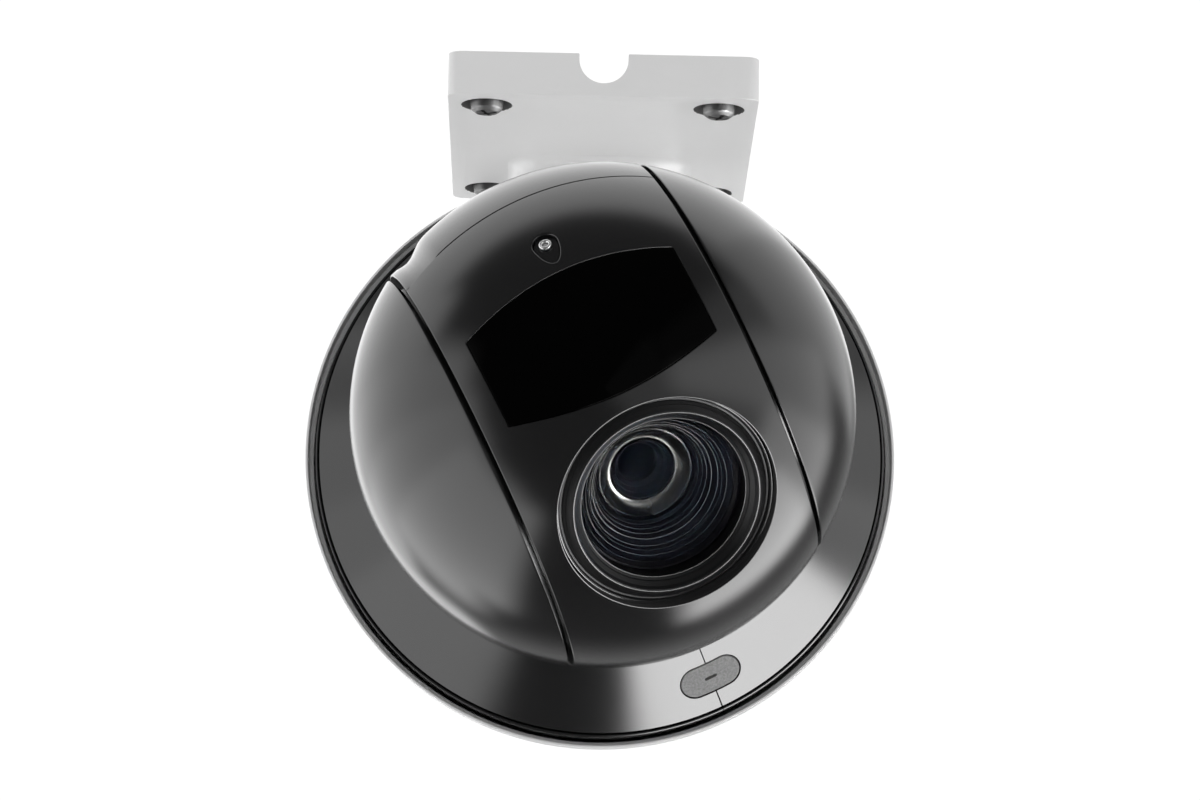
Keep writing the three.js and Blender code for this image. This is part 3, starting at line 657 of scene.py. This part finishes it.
def lens():
    """The ring round the lens with its thin ridges, the front glass, and what shows behind it."""
    bezel = [(21.6, 49.6), (28.2, 49.6), (28.5, 56.0), (28.5, 57.1), (28.2, 57.45), (27.85, 57.3),
             (27.5, 56.5), (27.0, 56.6), (26.9, 56.8), (26.2, 57.4), (26.1, 57.6), (25.2, 58.4),
             (24.9, 58.75), (24.5, 58.95), (24.1, 58.8), (23.6, 57.9), (22.6, 56.9), (22.4, 56.5),
             (21.6, 55.9)]
    radii = [0.12] * 3 + [0.3, 0.25, 0.2, 0.2] + [0.05] * 5 + [0.2] * 3 + [0.1] * 4
    ring = lathe("lens_bezel_ring", ring_profile(bezel, radii, 4), LENS, BEZEL_BLACK, 192, sharp=60)
    finish_piece(ring, "head", "bezel_black", "lens_bezel")
    lip("bezel_outer_lip", 28.25, 57.32, 0.2, LIP_BLACK, "bezel_black")
    lip("bezel_inner_lip", 24.5, 58.85, 0.16, LIP_BLACK, "bezel_black")
    lip("glass_lip", 21.75, 55.9, 0.12, LIP_BLACK, "bezel_black")
    outer = [(GLASS_R, GLASS_BACK), (GLASS_R, GLASS_FRONT)]
    dome = [(r, GLASS_FRONT + 2.5 * (1 - (r / GLASS_R) ** 2)) for r in np.linspace(GLASS_FLAT, 0, 24)]
    inner = [(r, GLASS_BACK + 1.2 * (1 - (r / GLASS_R) ** 2)) for r in np.linspace(0, GLASS_FLAT, 16)]
    glass = lathe("front_glass", inner + outer + dome, LENS, GLASS, 144, closed=False)
    finish_piece(glass, "head", "lens_glass", "front_lens")
    barrel()


# the throat's ledges as (radius, height), from the glass to the inner lens
LEDGES = [(21.0, 51.6), (19.8, 50.8), (18.6, 49.4), (17.6, 48.4), (17.0, 47.2), (15.8, 45.4), (14.9, 44.0),
          (14.2, 42.6), (13.6, 41.0)]
INNER_LEDGES = [(7.9, 37.2), (7.1, 35.4), (6.3, 33.6)]
# ridges in the throat as (radius, height, thickness)
BRIGHT_LIPS = [(18.65, 49.4, 0.05), (17.05, 47.2, 0.05), (15.85, 45.4, 0.09), (14.95, 44.0, 0.05)]
LEDGE_RADII = [0.03, 0.02, 0.02]


def stepped(ledges):
    """The profile down a stepped bore, with three points to a ledge."""
    profile = []
    for radius, height in ledges:
        profile += [(radius + 0.3, height - 0.5), (radius + 0.1, height), (radius, height - 0.05)]
    return profile


def barrel():
    """The stepped throat behind the front glass, then the inner lens in its ring."""
    bore = stepped(LEDGES) + [(12.9, 40.2), (12.7, 36.0), (8.9, 36.0)]
    bore += stepped(INNER_LEDGES) + [(5.2, 32.4), (5.2, 30.0)]
    body = [(15, 28.4), (15, -6), (18, -6), (18, 24), (26, 26), (26, 49.2), (22.2, 49.2), (22.0, 51.6)]
    radii = LEDGE_RADII * len(LEDGES) + [0.2, 0.2, 0.2]
    radii += LEDGE_RADII * len(INNER_LEDGES) + [0.1, 0.3] + [0.3] * len(body)
    throat = lathe("lens_throat", ring_profile(bore + body, radii, 2), LENS, THROAT, 192, sharp=70)
    finish_piece(throat, "head", "plastic", "lens_housing")
    funnel = [(9.0 + 3.0 * t, 37.0 + 2.6 * t ** 1.5) for t in np.linspace(0, 1, 14)]
    nose = [(8.7, 36.4), (8.7, 36.9)] + funnel + [(12.3, 39.5), (12.3, 36.4)]
    retainer = lathe("lens_retainer", nose, LENS, RETAINER, 160, sharp=70)
    finish_piece(retainer, "head", "steel")
    for number, (radius, height, size) in enumerate(BRIGHT_LIPS):
        lip(f"throat_lip_{number + 1}", radius, height, size, LIP_BLACK, "plastic")
    face = [(r, 37.0 + 1.8 * (1 - (r / INNER_R) ** 2)) for r in np.linspace(INNER_R, 0, 16)]
    element = lathe("inner_lens", [(0, INNER_BACK), (INNER_R, INNER_BACK)] + face, LENS, INNER_GLASS, 96,
                    closed=False)
    finish_piece(element, "head", "lens_glass")


# ---------- the yoke ----------
def apply_modifiers(obj):
    """Makes the piece's mesh what its modifiers give."""
    graph = bpy.context.evaluated_depsgraph_get()
    mesh = bpy.data.meshes.new_from_object(obj.evaluated_get(graph))
    obj.modifiers.clear()
    obj.data = mesh


def cut(obj, cutter):
    """Takes the cutter's shape out of the piece."""
    modifier = obj.modifiers.new("cut", "BOOLEAN")
    modifier.operation = "DIFFERENCE"
    modifier.object = cutter
    modifier.solver = "EXACT"
    modifier.material_mode = "TRANSFER"
    old = obj.data
    apply_modifiers(obj)
    bpy.data.meshes.remove(old)
    bpy.data.objects.remove(cutter)


def block(low, high, matrix):
    """A plain cutting block."""
    points = [(x, y, z) for x in (low[0], high[0]) for y in (low[1], high[1]) for z in (low[2], high[2])]
    faces = [(0, 1, 3, 2), (4, 6, 7, 5), (0, 4, 5, 1), (2, 3, 7, 6), (0, 2, 6, 4), (1, 5, 7, 3)]
    return new_object("cutter", points, faces, matrix)


# the flange inside each cheek, which closes the seam from behind: (distance from the tilt axis, along it)
FLANGE = [(50.2, 37.8), (50.2, 34.4), (51.5, 34.4), (51.5, CHEEK)]
FLANGE_START = 38.2
# the slots in each cheek for the yoke's arm and the belt: from, to, half the width
CHEEK_SLOTS = [(30, 44.2, 17.6), (43, 52, 14.6)]
SLOT_LOW, SLOT_HIGH = 20, 90


def cheeks():
    """The ball's two side covers."""
    for side, name in ((-1, "left"), (1, "right")):
        start = math.degrees(math.asin(CHEEK / BALL_R))
        end = math.degrees(math.asin(FLANGE_START / (BALL_R - COVER_THICK)))
        outer = arc_points((0, 0), BALL_R, start, 90, 64)
        inner = arc_points((0, 0), BALL_R - COVER_THICK, 90, end, 32)
        radii = [0] * len(inner) + [0, 0.3, 0.3, 0.2, 0.5] + [0] * (len(outer) - 1)
        profile = rounded(inner + FLANGE + outer, radii, 5)
        profile = [(abs(r) if abs(r) > 1e-9 else 0.0, h) for r, h in profile]
        place = along(YOKE, (side, 0, 0))
        cheek = lathe("cheek_shell_" + name, profile, place, BALL_BLACK, 192, closed=False)
        for near, far, half in CHEEK_SLOTS:
            left, right = sorted((side * near, side * far))
            cut(cheek, block((left, -half, SLOT_LOW), (right, half, SLOT_HIGH), YOKE))
        finish_piece(cheek, "pan_yoke", "ball_dark", "cheek_" + name)


# the skirt's cone: its radii, and their heights from the rim plane
CONE = {"inner": 56.5, "inner_z": -17.7, "outer": 76.2, "outer_z": -1.1}
CONE_SLOPE = math.atan2(CONE["outer_z"] - CONE["inner_z"], CONE["outer"] - CONE["inner"])
CONE_LENGTH = math.hypot(CONE["outer_z"] - CONE["inner_z"], CONE["outer"] - CONE["inner"])
PAD_R = 68.6
PAD = {"length": 17.4, "width": 9.2}
PAD_S = (PAD_R - CONE["inner"]) / math.cos(CONE_SLOPE)


def cone_surface(u, v, depth):
    """u is the arc length round the pad's circle from the front, and v the way up the cone's face."""
    radius = CONE["inner"] + v * math.cos(CONE_SLOPE) - depth * math.sin(CONE_SLOPE)
    height = CONE["inner_z"] + v * math.sin(CONE_SLOPE) + depth * math.cos(CONE_SLOPE) + BALL_DROP
    angle = u / PAD_R
    return np.c_[radius * np.sin(angle), -radius * np.cos(angle), height]


def pad_outline(grow, count=24):
    """The right and left ends of the oblong, grown by a margin."""
    half = PAD["width"] / 2 + grow
    straight = (PAD["length"] - PAD["width"]) / 2
    right = arc_points((straight, PAD_S), half, -90, 90, count)
    left = arc_points((-straight, PAD_S), half, 90, 270, count)
    return right, left


def skirt():
    """The dark cone in two halves, each a curved face with a rim ring behind it."""
    seam = 0.09
    around = math.pi * PAD_R - seam
    right, _ = pad_outline(0.05)
    bite = [(seam, right[0][1])] + list(right) + [(seam, right[-1][1])]
    for side, name in ((1, "right"), (-1, "left")):
        loop = [(seam, 0)] + bite + [(seam, CONE_LENGTH), (around, CONE_LENGTH), (around, 0)]
        loop = resample([(side * u, v) for u, v in loop], 1.1)
        half = patch("skirt_" + name + "_face", cone_surface, loop, [], 2.2, SKIRT_BLACK, YOKE,
                     edge=0.12, spacing=2.0)
        ring = ring_profile([(76.55, -0.75), (77.2, -0.35), (77.2, 4), (75.4, 4), (75.4, 14), (69, 14),
                             (69, 12), (73.6, 12), (73.6, 1.2), (76.0, 1.2), (76.3, 0.4)],
                            [0.25, 0.28] + [0.3] * 9, 4)
        start = -math.pi / 2 + (seam / PAD_R if side > 0 else -math.pi + seam / PAD_R)
        arc = (start, start + math.pi - 2 * seam / PAD_R)
        place = YOKE @ Matrix.Translation((0, 0, BALL_DROP * MM))
        rim = lathe("skirt_" + name + "_rim", ring, place, SKIRT_BLACK, 144, arc=arc)
        finish_piece(half, "pan_yoke", "skirt_dark", "skirt_" + name)
        finish_piece(rim, "pan_yoke", "skirt_dark")


def pad():
    """The grey plug lies flush in the skirt, with a black slot pressed into it."""
    right, left = pad_outline(-0.25)
    dash_half, dash_end, thick = 0.42, 1.35, 1.6
    dash = arc_points((dash_end, PAD_S), dash_half, -90, 90, 9)
    dash += arc_points((-dash_end, PAD_S), dash_half, 90, 270, 9)
    outline = resample(right + left, 0.8)
    plug = patch("skirt_plug_pad", lambda u, v, depth: cone_surface(u, v, depth - 0.05), outline,
                 [resample(dash, 0.4)], thick, PAD_GREY, YOKE, edge=0.3, spacing=1.0, hole_edges=[0.08])
    finish_piece(plug, "pan_yoke", "plug_rubber", "skirt_plug")
    back = patch("skirt_plug_back", lambda u, v, depth: cone_surface(u, v, depth + thick), outline,
                 [], 0.5, INNER_BLACK, YOKE, edge=0.1, spacing=2.0)
    finish_piece(back, "pan_yoke", "plug_rubber")


# ---------- the upper housing ----------
def housing():
    """The bell with its ledge for the chassis, the cap, the gasket between them, and the neck."""
    outer = [(79.3, 0.0), (80.0, 0.0), (80.0, 3.4), (79.2, 6), (75.4, 28), (71.6, 50), (67.8, 72),
             (64.4, 90), (60.8, 103), (57.6, 112), (53.2, 119.2)]
    inner = [(51.9, 117.6), (56.2, 109.6), (58.8, 102.6), (62.2, 90), (65.6, 71.7), (62.6, 71.7),
             (62.6, 68.7), (67.2, 62.7), (73.4, 28), (76.1, 14), (77.9, 4.6), (79.0, 4.0)]
    radii = [0.25, 0.35, 1.5, 6, 60, 60, 60, 50, 22, 14, 1.4]
    radii += [0.3] + [3] * 3 + [0.5] * 3 + [3, 3, 3, 0.3, 0.3]
    bell = lathe("bell_housing", ring_profile(outer + inner, radii, 10), DOME, WHITE, 192)
    finish_piece(bell, "housing", "housing_paint", "upper_housing")
    cap = [(56, 120.2), (54.6, 124.5), (49.2, 132.4), (41, 139.3), (31, 144.4), (31, 148), (24.2, 148),
           (24.2, 144), (39.6, 136.2), (47.2, 129.6), (52.2, 122.6), (52.7, 120.2)]
    radii = [0.7, 8, 12, 12, 2.5, 0.9] + [0.4] * 6
    dome = lathe("cap_shell", ring_profile(cap, radii, 8), DOME, WHITE, 160)
    finish_piece(dome, "housing", "housing_paint", "top_cap")
    seal = [(48.4, 116.5), (50.6, 116.5), (50.6, 122), (48.4, 122)]
    gasket = lathe("cap_gasket", ring_profile(seal, 0.3, 3), DOME, SEAL, 144)
    finish_piece(gasket, "housing", "seal_rubber", "cap_seal")
    neck = [(17, 143), (23.5, 143), (23.5, 148.3), (30, 148.3), (30, 151.3), (23.6, 151.3), (23.6, 176),
            (17, 176)]
    radii = [0.4, 0.4, 0.1, 0.6, 0.6, 0.4, 0.8, 0.4]
    adapter = lathe("pendant_neck", ring_profile(neck, radii, 4), DOME, ALUMINIUM, 160)
    finish_piece(adapter, "housing", "aluminium", "pendant_adapter")


# ---------- the wall bracket ----------
PLATE_W, PLATE_H, PLATE_T = 92.0, 125.0, 13.0
SCREW_X, SCREW_Z = 34.5, 49.5
SINK_R, SINK_DEPTH, HOLE_R = 7.5, 4, 3.3
COLLAR_Y = -142.0


def rounded_rect(width, height, radius, steps=8):
    """The outline of an oblong with rounded corners, centred on the origin."""
    w, h = width / 2 - radius, height / 2 - radius
    loop = []
    for x, y, start in ((w, -h, -90), (w, h, 0), (-w, h, 90), (-w, -h, 180)):
        loop += arc_points((x, y), radius, start, start + 90, steps)
    return loop


def prism(name, loop, low, high, to_point, material=None):
    """A solid between two heights; to_point turns (u, v, height) into a place."""
    count = len(loop)
    points = [to_point(u, v, low) for u, v in loop] + [to_point(u, v, high) for u, v in loop]
    faces = [list(range(count))[::-1], list(range(count, 2 * count))]
    faces += [(i, (i + 1) % count, count + (i + 1) % count, count + i) for i in range(count)]
    return new_object(name, points, faces, WORLD, material, 30)


def bevelled(obj, width):
    """Rounds the piece's sharp edges."""
    modifier = obj.modifiers.new("edges", "BEVEL")
    modifier.width = width * MM
    modifier.segments = 3
    modifier.limit_method = "ANGLE"
    modifier.angle_limit = math.radians(32)
    modifier.harden_normals = False
    modifier.miter_outer = "MITER_ARC"
    apply_modifiers(obj)
    obj.data.polygons.foreach_set("use_smooth", [True] * len(obj.data.polygons))
    obj.data.set_sharp_from_angle(angle=math.radians(24))


def flat_y(u, v, height):
    return u, height, v


def flat_z(u, v, height):
    return u, v, height


def bracket():
    """The wall plate with its cable notch, cable pocket and counterbores, then the arm and its collar."""
    plate = prism("bracket_plate", rounded_rect(PLATE_W, PLATE_H, 4), -PLATE_T, 0, flat_y, WHITE)
    half, depth = 7.25, 9.0
    notch = [(half, 1.0), (half, half - depth)] + arc_points((0, half - depth), half, 0, -180, 20)[1:-1]
    notch += [(-half, half - depth), (-half, 1.0)]
    cut(plate, prism("notch", notch, -PLATE_H / 2 - 1, 20, flat_z))
    cut(plate, prism("pocket", [(x, z + 33) for x, z in rounded_rect(40, 38, 4)], -PLATE_T - 1, 1, flat_y))
    for x in (-SCREW_X, SCREW_X):
        for z in (-SCREW_Z, SCREW_Z):
            sink = arc_points((x, z), SINK_R, 0, 352.5, 48)
            # the cutters carry the dark grey onto the walls that they leave in the plate
            cut(plate, prism("sink", sink, -PLATE_T - 1, -PLATE_T + SINK_DEPTH, flat_y, BORE_GREY))
            hole = arc_points((x, z), HOLE_R, 0, 348.75, 32)
            cut(plate, prism("hole", hole, -PLATE_T - 1, 1, flat_y, BORE_GREY))
    bevelled(plate, 0.8)
    arm = arm_shell()
    place = Matrix.Translation((0, COLLAR_Y * MM, 0))
    socket = [(24.1, -10.7), (31, -10.7), (31, 41), (28.5, 43.4), (20, 44), (6, 44), (6, 40), (24.1, 40)]
    radii = [0.5, 1.2, 2, 3, 6, 0.5, 0.5, 0.5]
    collar = lathe("bracket_collar", ring_profile(socket, radii, 6), place, WHITE, 128)
    lid = lathe("bracket_lid", [(0, 40), (6.2, 40), (6.2, 44), (0, 44)], place, WHITE, 48, closed=False)
    for part in (arm, collar, lid):
        finish_piece(part, "housing", "bracket_paint")
    finish_piece(plate, "housing", "bracket_paint", "wall_bracket")


def arm_shell():
    """The hollow arm: rounded sections from the plate to the collar, flared where it meets the plate."""
    flare, wall = 5.0, 4.0
    stations = [0.0, 0.04, 0.1, 0.2, 0.35, 0.55, 0.8, 1.0]
    near = [(-PLATE_T + 0.3) - flare * s for s in stations]
    path = near + list(np.linspace(near[-1], COLLAR_Y + 8, 30))[1:]

    def section(y, inset):
        run = max(0.0, (-y - PLATE_T) / (-COLLAR_Y - PLATE_T))
        grow = 0.0
        past = (-PLATE_T - y) / flare
        if past < 1 and inset == 0:
            grow = flare * (1 - math.sqrt(max(0.0, 1 - (1 - max(past, 0)) ** 2)))
        low = 10 + 4 * run * (1 - run) - 9 * run ** 2 + inset - grow
        high = 56 - 12 * run ** 1.8 - inset + min(grow, 3.0)
        width = 24 - inset + grow
        centre, tall = (low + high) / 2, (high - low) / 2
        radius = max(1.5, 8 - inset)
        return [(x, y, z + centre) for x, z in rounded_rect(2 * width, 2 * tall, radius + grow, 8)]
    outer = [section(y, 0) for y in path]
    inner = [section(y, wall) for y in path]
    size = len(outer[0])
    points = [p for loop in outer + inner for p in loop]
    rows = len(path)
    base = rows * size
    faces = []
    for row in range(rows - 1):
        for i in range(size):
            j = (i + 1) % size
            faces.append((row * size + i, row * size + j, (row + 1) * size + j, (row + 1) * size + i))
            faces.append((base + row * size + i, base + (row + 1) * size + i,
                          base + (row + 1) * size + j, base + row * size + j))
    for row in (0, rows - 1):
        for i in range(size):
            j = (i + 1) % size
            faces.append((row * size + i, base + row * size + i, base + row * size + j, row * size + j))
    return new_object("bracket_arm", points, faces, WORLD, WHITE, 35)


CROSS_HALF, CROSS_REACH, CROSS_LOW, CROSS_HIGH = 0.55, 3.2, 13.6, 17     # the drive slots


def screws():
    """Four cross-slotted screws, each turned differently, with their washers."""
    number = 0
    for z in (-SCREW_Z, SCREW_Z):
        for x in (-SCREW_X, SCREW_X):
            number += 1
            place = along(Matrix.Translation((x * MM, 0, z * MM)), (0, -1, 0))
            head = [(0, 0.6), (2.7, 0.6), (2.7, 10.7), (4.95, 10.7), (5.0, 12.2), (4.6, 14.4), (3.2, 15.4),
                    (0, 15.7)]
            profile = rounded(head, [0, .3, .3, .3, .5, 1.0, 1.4, 0], 5)
            screw = lathe(f"screw_{number}", profile, place, SCREW, 64, closed=False)
            turn = Matrix.Rotation(math.radians(20 + 47 * number), 4, "Z")
            for x_half, y_half in ((CROSS_REACH, CROSS_HALF), (CROSS_HALF, CROSS_REACH)):
                slot = block((-x_half, -y_half, CROSS_LOW), (x_half, y_half, CROSS_HIGH), place @ turn)
                cut(screw, slot)
            screw.data.set_sharp_from_angle(angle=math.radians(35))
            finish_piece(screw, "housing", "screw_steel", f"wall_screw_{number}")
            flat_ring = ring_profile([(3.3, 9.3), (6.8, 9.3), (6.8, 10.3), (3.3, 10.3)], 0.25, 3)
            washer = lathe(f"washer_{number}", flat_ring, place, SCREW, 64)
            finish_piece(washer, "housing", "screw_steel", f"wall_washer_{number}")


# ---------- the pieces that keep their CAD shape ----------
SLOT_MATERIALS = {
    "bracket_paint": WHITE, "housing_paint": WHITE, "ball_dark": BALL_BLACK, "skirt_dark": SKIRT_BLACK,
    "window_black": WINDOW_BLACK, "bezel_black": BEZEL_BLACK, "plug_rubber": PAD_GREY, "seal_rubber": SEAL,
    "screw_steel": SCREW, "steel": STEEL, "aluminium": ALUMINIUM, "board": BOARD, "plastic": INNER_BLACK,
    "lens_glass": GLASS,
}


def dress_frame():
    """Every CAD node that stays gets the material of its slot."""
    slots = {part["node"]: part["material_slot"] for part in frame["record"]["subparts"]}
    for node, obj in frame["nodes"].items():
        obj.data.materials.clear()
        obj.data.materials.append(SLOT_MATERIALS[slots[node]])
        obj.data.set_sharp_from_angle(angle=math.radians(35))


# ---------- camera, light and room ----------
DISTANCE, LIFT = 1462.0, 15.25                      # from the rim's centre, back and up the picture
LEAN, AZIMUTH, ROLL = 12.254, 2.525, 3.655          # degrees: off straight up, about Z, in the picture
FOCAL_LENGTH, SENSOR_WIDTH = 161.48, 36.0


def camera():
    """Below and a little in front of the dome, looking up, with the wall at the picture's top."""
    lean, azimuth, roll = map(math.radians, (LEAN, AZIMUTH, ROLL))
    back = Vector((math.sin(azimuth) * math.sin(lean), -math.cos(azimuth) * math.sin(lean),
                   -math.cos(lean)))
    up = Vector((-math.sin(azimuth) * math.cos(lean), math.cos(azimuth) * math.cos(lean),
                 -math.sin(lean)))
    right = up.cross(back)
    right, up = right * math.cos(roll) + up * math.sin(roll), up * math.cos(roll) - right * math.sin(roll)
    data = bpy.data.cameras.new("camera")
    data.lens, data.sensor_width = FOCAL_LENGTH, SENSOR_WIDTH
    data.clip_start, data.clip_end = 0.05, 50
    obj = bpy.data.objects.new("camera", data)
    bpy.context.scene.collection.objects.link(obj)
    obj.matrix_world = axes_at(rim_centre + back * (DISTANCE * MM) + up * (LIFT * MM), right, up)
    bpy.context.scene.camera = obj


def math_node(tree, operation, first, second=None):
    """A Math node whose inputs are numbers or other nodes' outputs."""
    node = add_node(tree, "Math")
    node.operation = operation
    for socket, value in zip(node.inputs, (first, second)):
        if value is None:
            continue
        if isinstance(value, (int, float)):
            socket.default_value = value
        else:
            tree.links.new(value, socket)
    return node.outputs[0]


def edge_mask(tree, source, low, high, soft):
    """1 between two angles in degrees, falling to 0 over the soft width outside them."""
    rise = add_range(tree, source, 0, 1, math.radians(low - soft), math.radians(low))
    fall = add_range(tree, source, 1, 0, math.radians(high), math.radians(high + soft))
    return math_node(tree, "MULTIPLY", rise, fall)


# Soft boxes round the studio: bearing from, to, height angle from, to (degrees), brightness, softness.
# A bearing is counted from BEARING_ZERO degrees past +X, so that the dark gap in front is at its ends.
BEARING_ZERO = 92
SOFT_BOXES = [
    (-151, -138, -22, 33, 2.8, 9),
    (-140, -112, -22, 44, 2.75, 12),
    (-114, -94, -25, 59, 2.15, 12),
    (-96, -76, -22, 57, 1.8, 12),
    (-78, -56, 0, 20, 1.75, 9),
    (-84, 30, 8, 62, 1.6, 10),
    (28, 66, 3, 58, 1.15, 10),
    (46, 66, -58, 4, 0.5, 12),
    (66, 84, -56, 26, 1.65, 14),
    (87, 102, -8, 31, 2.7, 12),
    (106, 147, 4, 36, 5.8, 9),
    (108, 164, -32, -9, 15.0, 6),
    (-134, 40, 66, 90, 2.0, 12),
    (40, 130, -90, -64, 0.6, 14),
]
GAP_LIGHT = 0.1             # the room between the soft boxes
DOME_LIGHT = 0.35           # straight overhead
DOME_FROM, DOME_FULL = 44, 62               # the heights between which the one turns into the other
FILL_BELOW, FILL_ABOVE = 0.5, 1.05          # the even light that matt surfaces get
BACKDROP = 1.05
FLOOR_HALF, FLOOR_Z = 6000, -3600


def room():
    """The studio: soft boxes for glossy rays, an even fill for the rest, a white backdrop and a floor."""
    world = bpy.data.worlds.new("studio")
    bpy.context.scene.world = world
    world.use_nodes = True
    tree = world.node_tree
    direction = add_node(tree, "TexCoord").outputs["Generated"]
    turned = add_node(tree, "Mapping", Rotation=(0, 0, math.radians(-BEARING_ZERO)))
    split = add_node(tree, "SeparateXYZ")
    tree.links.new(direction, turned.inputs["Vector"])
    tree.links.new(turned.outputs["Vector"], split.inputs["Vector"])
    bearing = math_node(tree, "ARCTAN2", split.outputs["Y"], split.outputs["X"])
    height = math_node(tree, "ARCSINE", split.outputs["Z"])
    total = add_range(tree, height, GAP_LIGHT, DOME_LIGHT, math.radians(DOME_FROM),
                      math.radians(DOME_FULL))
    for start, end, low, high, brightness, soft in SOFT_BOXES:
        mask = math_node(tree, "MULTIPLY", edge_mask(tree, bearing, start, end, soft),
                         edge_mask(tree, height, low, high, soft))
        total = math_node(tree, "MAXIMUM", total, math_node(tree, "MULTIPLY", mask, brightness))
    boxes, fill, seen = (add_node(tree, "Background", Color=(1, 1, 1, 1)) for _ in range(3))
    tree.links.new(total, boxes.inputs["Strength"])
    tree.links.new(add_range(tree, split.outputs["Z"], FILL_BELOW, FILL_ABOVE, -0.5, 0.5),
                   fill.inputs["Strength"])
    seen.inputs["Strength"].default_value = BACKDROP
    boxes, fill, seen = (node.outputs["Background"] for node in (boxes, fill, seen))
    rays = add_node(tree, "LightPath").outputs
    unseen = mixed(tree, rays["Is Glossy Ray"], fill, boxes)
    final = mixed(tree, rays["Is Camera Ray"], unseen, seen)
    tree.links.new(final, tree.nodes["World Output"].inputs["Surface"])
    view = bpy.context.scene.view_settings
    view.view_transform = "Standard"
    view.look = "None"
    corners = [(-FLOOR_HALF, -FLOOR_HALF, FLOOR_Z), (FLOOR_HALF, -FLOOR_HALF, FLOOR_Z),
               (FLOOR_HALF, FLOOR_HALF, FLOOR_Z), (-FLOOR_HALF, FLOOR_HALF, FLOOR_Z)]
    floor = new_object("floor", corners, [(0, 1, 2, 3)], WORLD, WHITE)
    floor.visible_glossy = False



camera()
dress_frame()
front_cover()
rear_cover()
window()
light_sensor()
lens()
cheeks()
skirt()
pad()
housing()
bracket()
screws()
room()
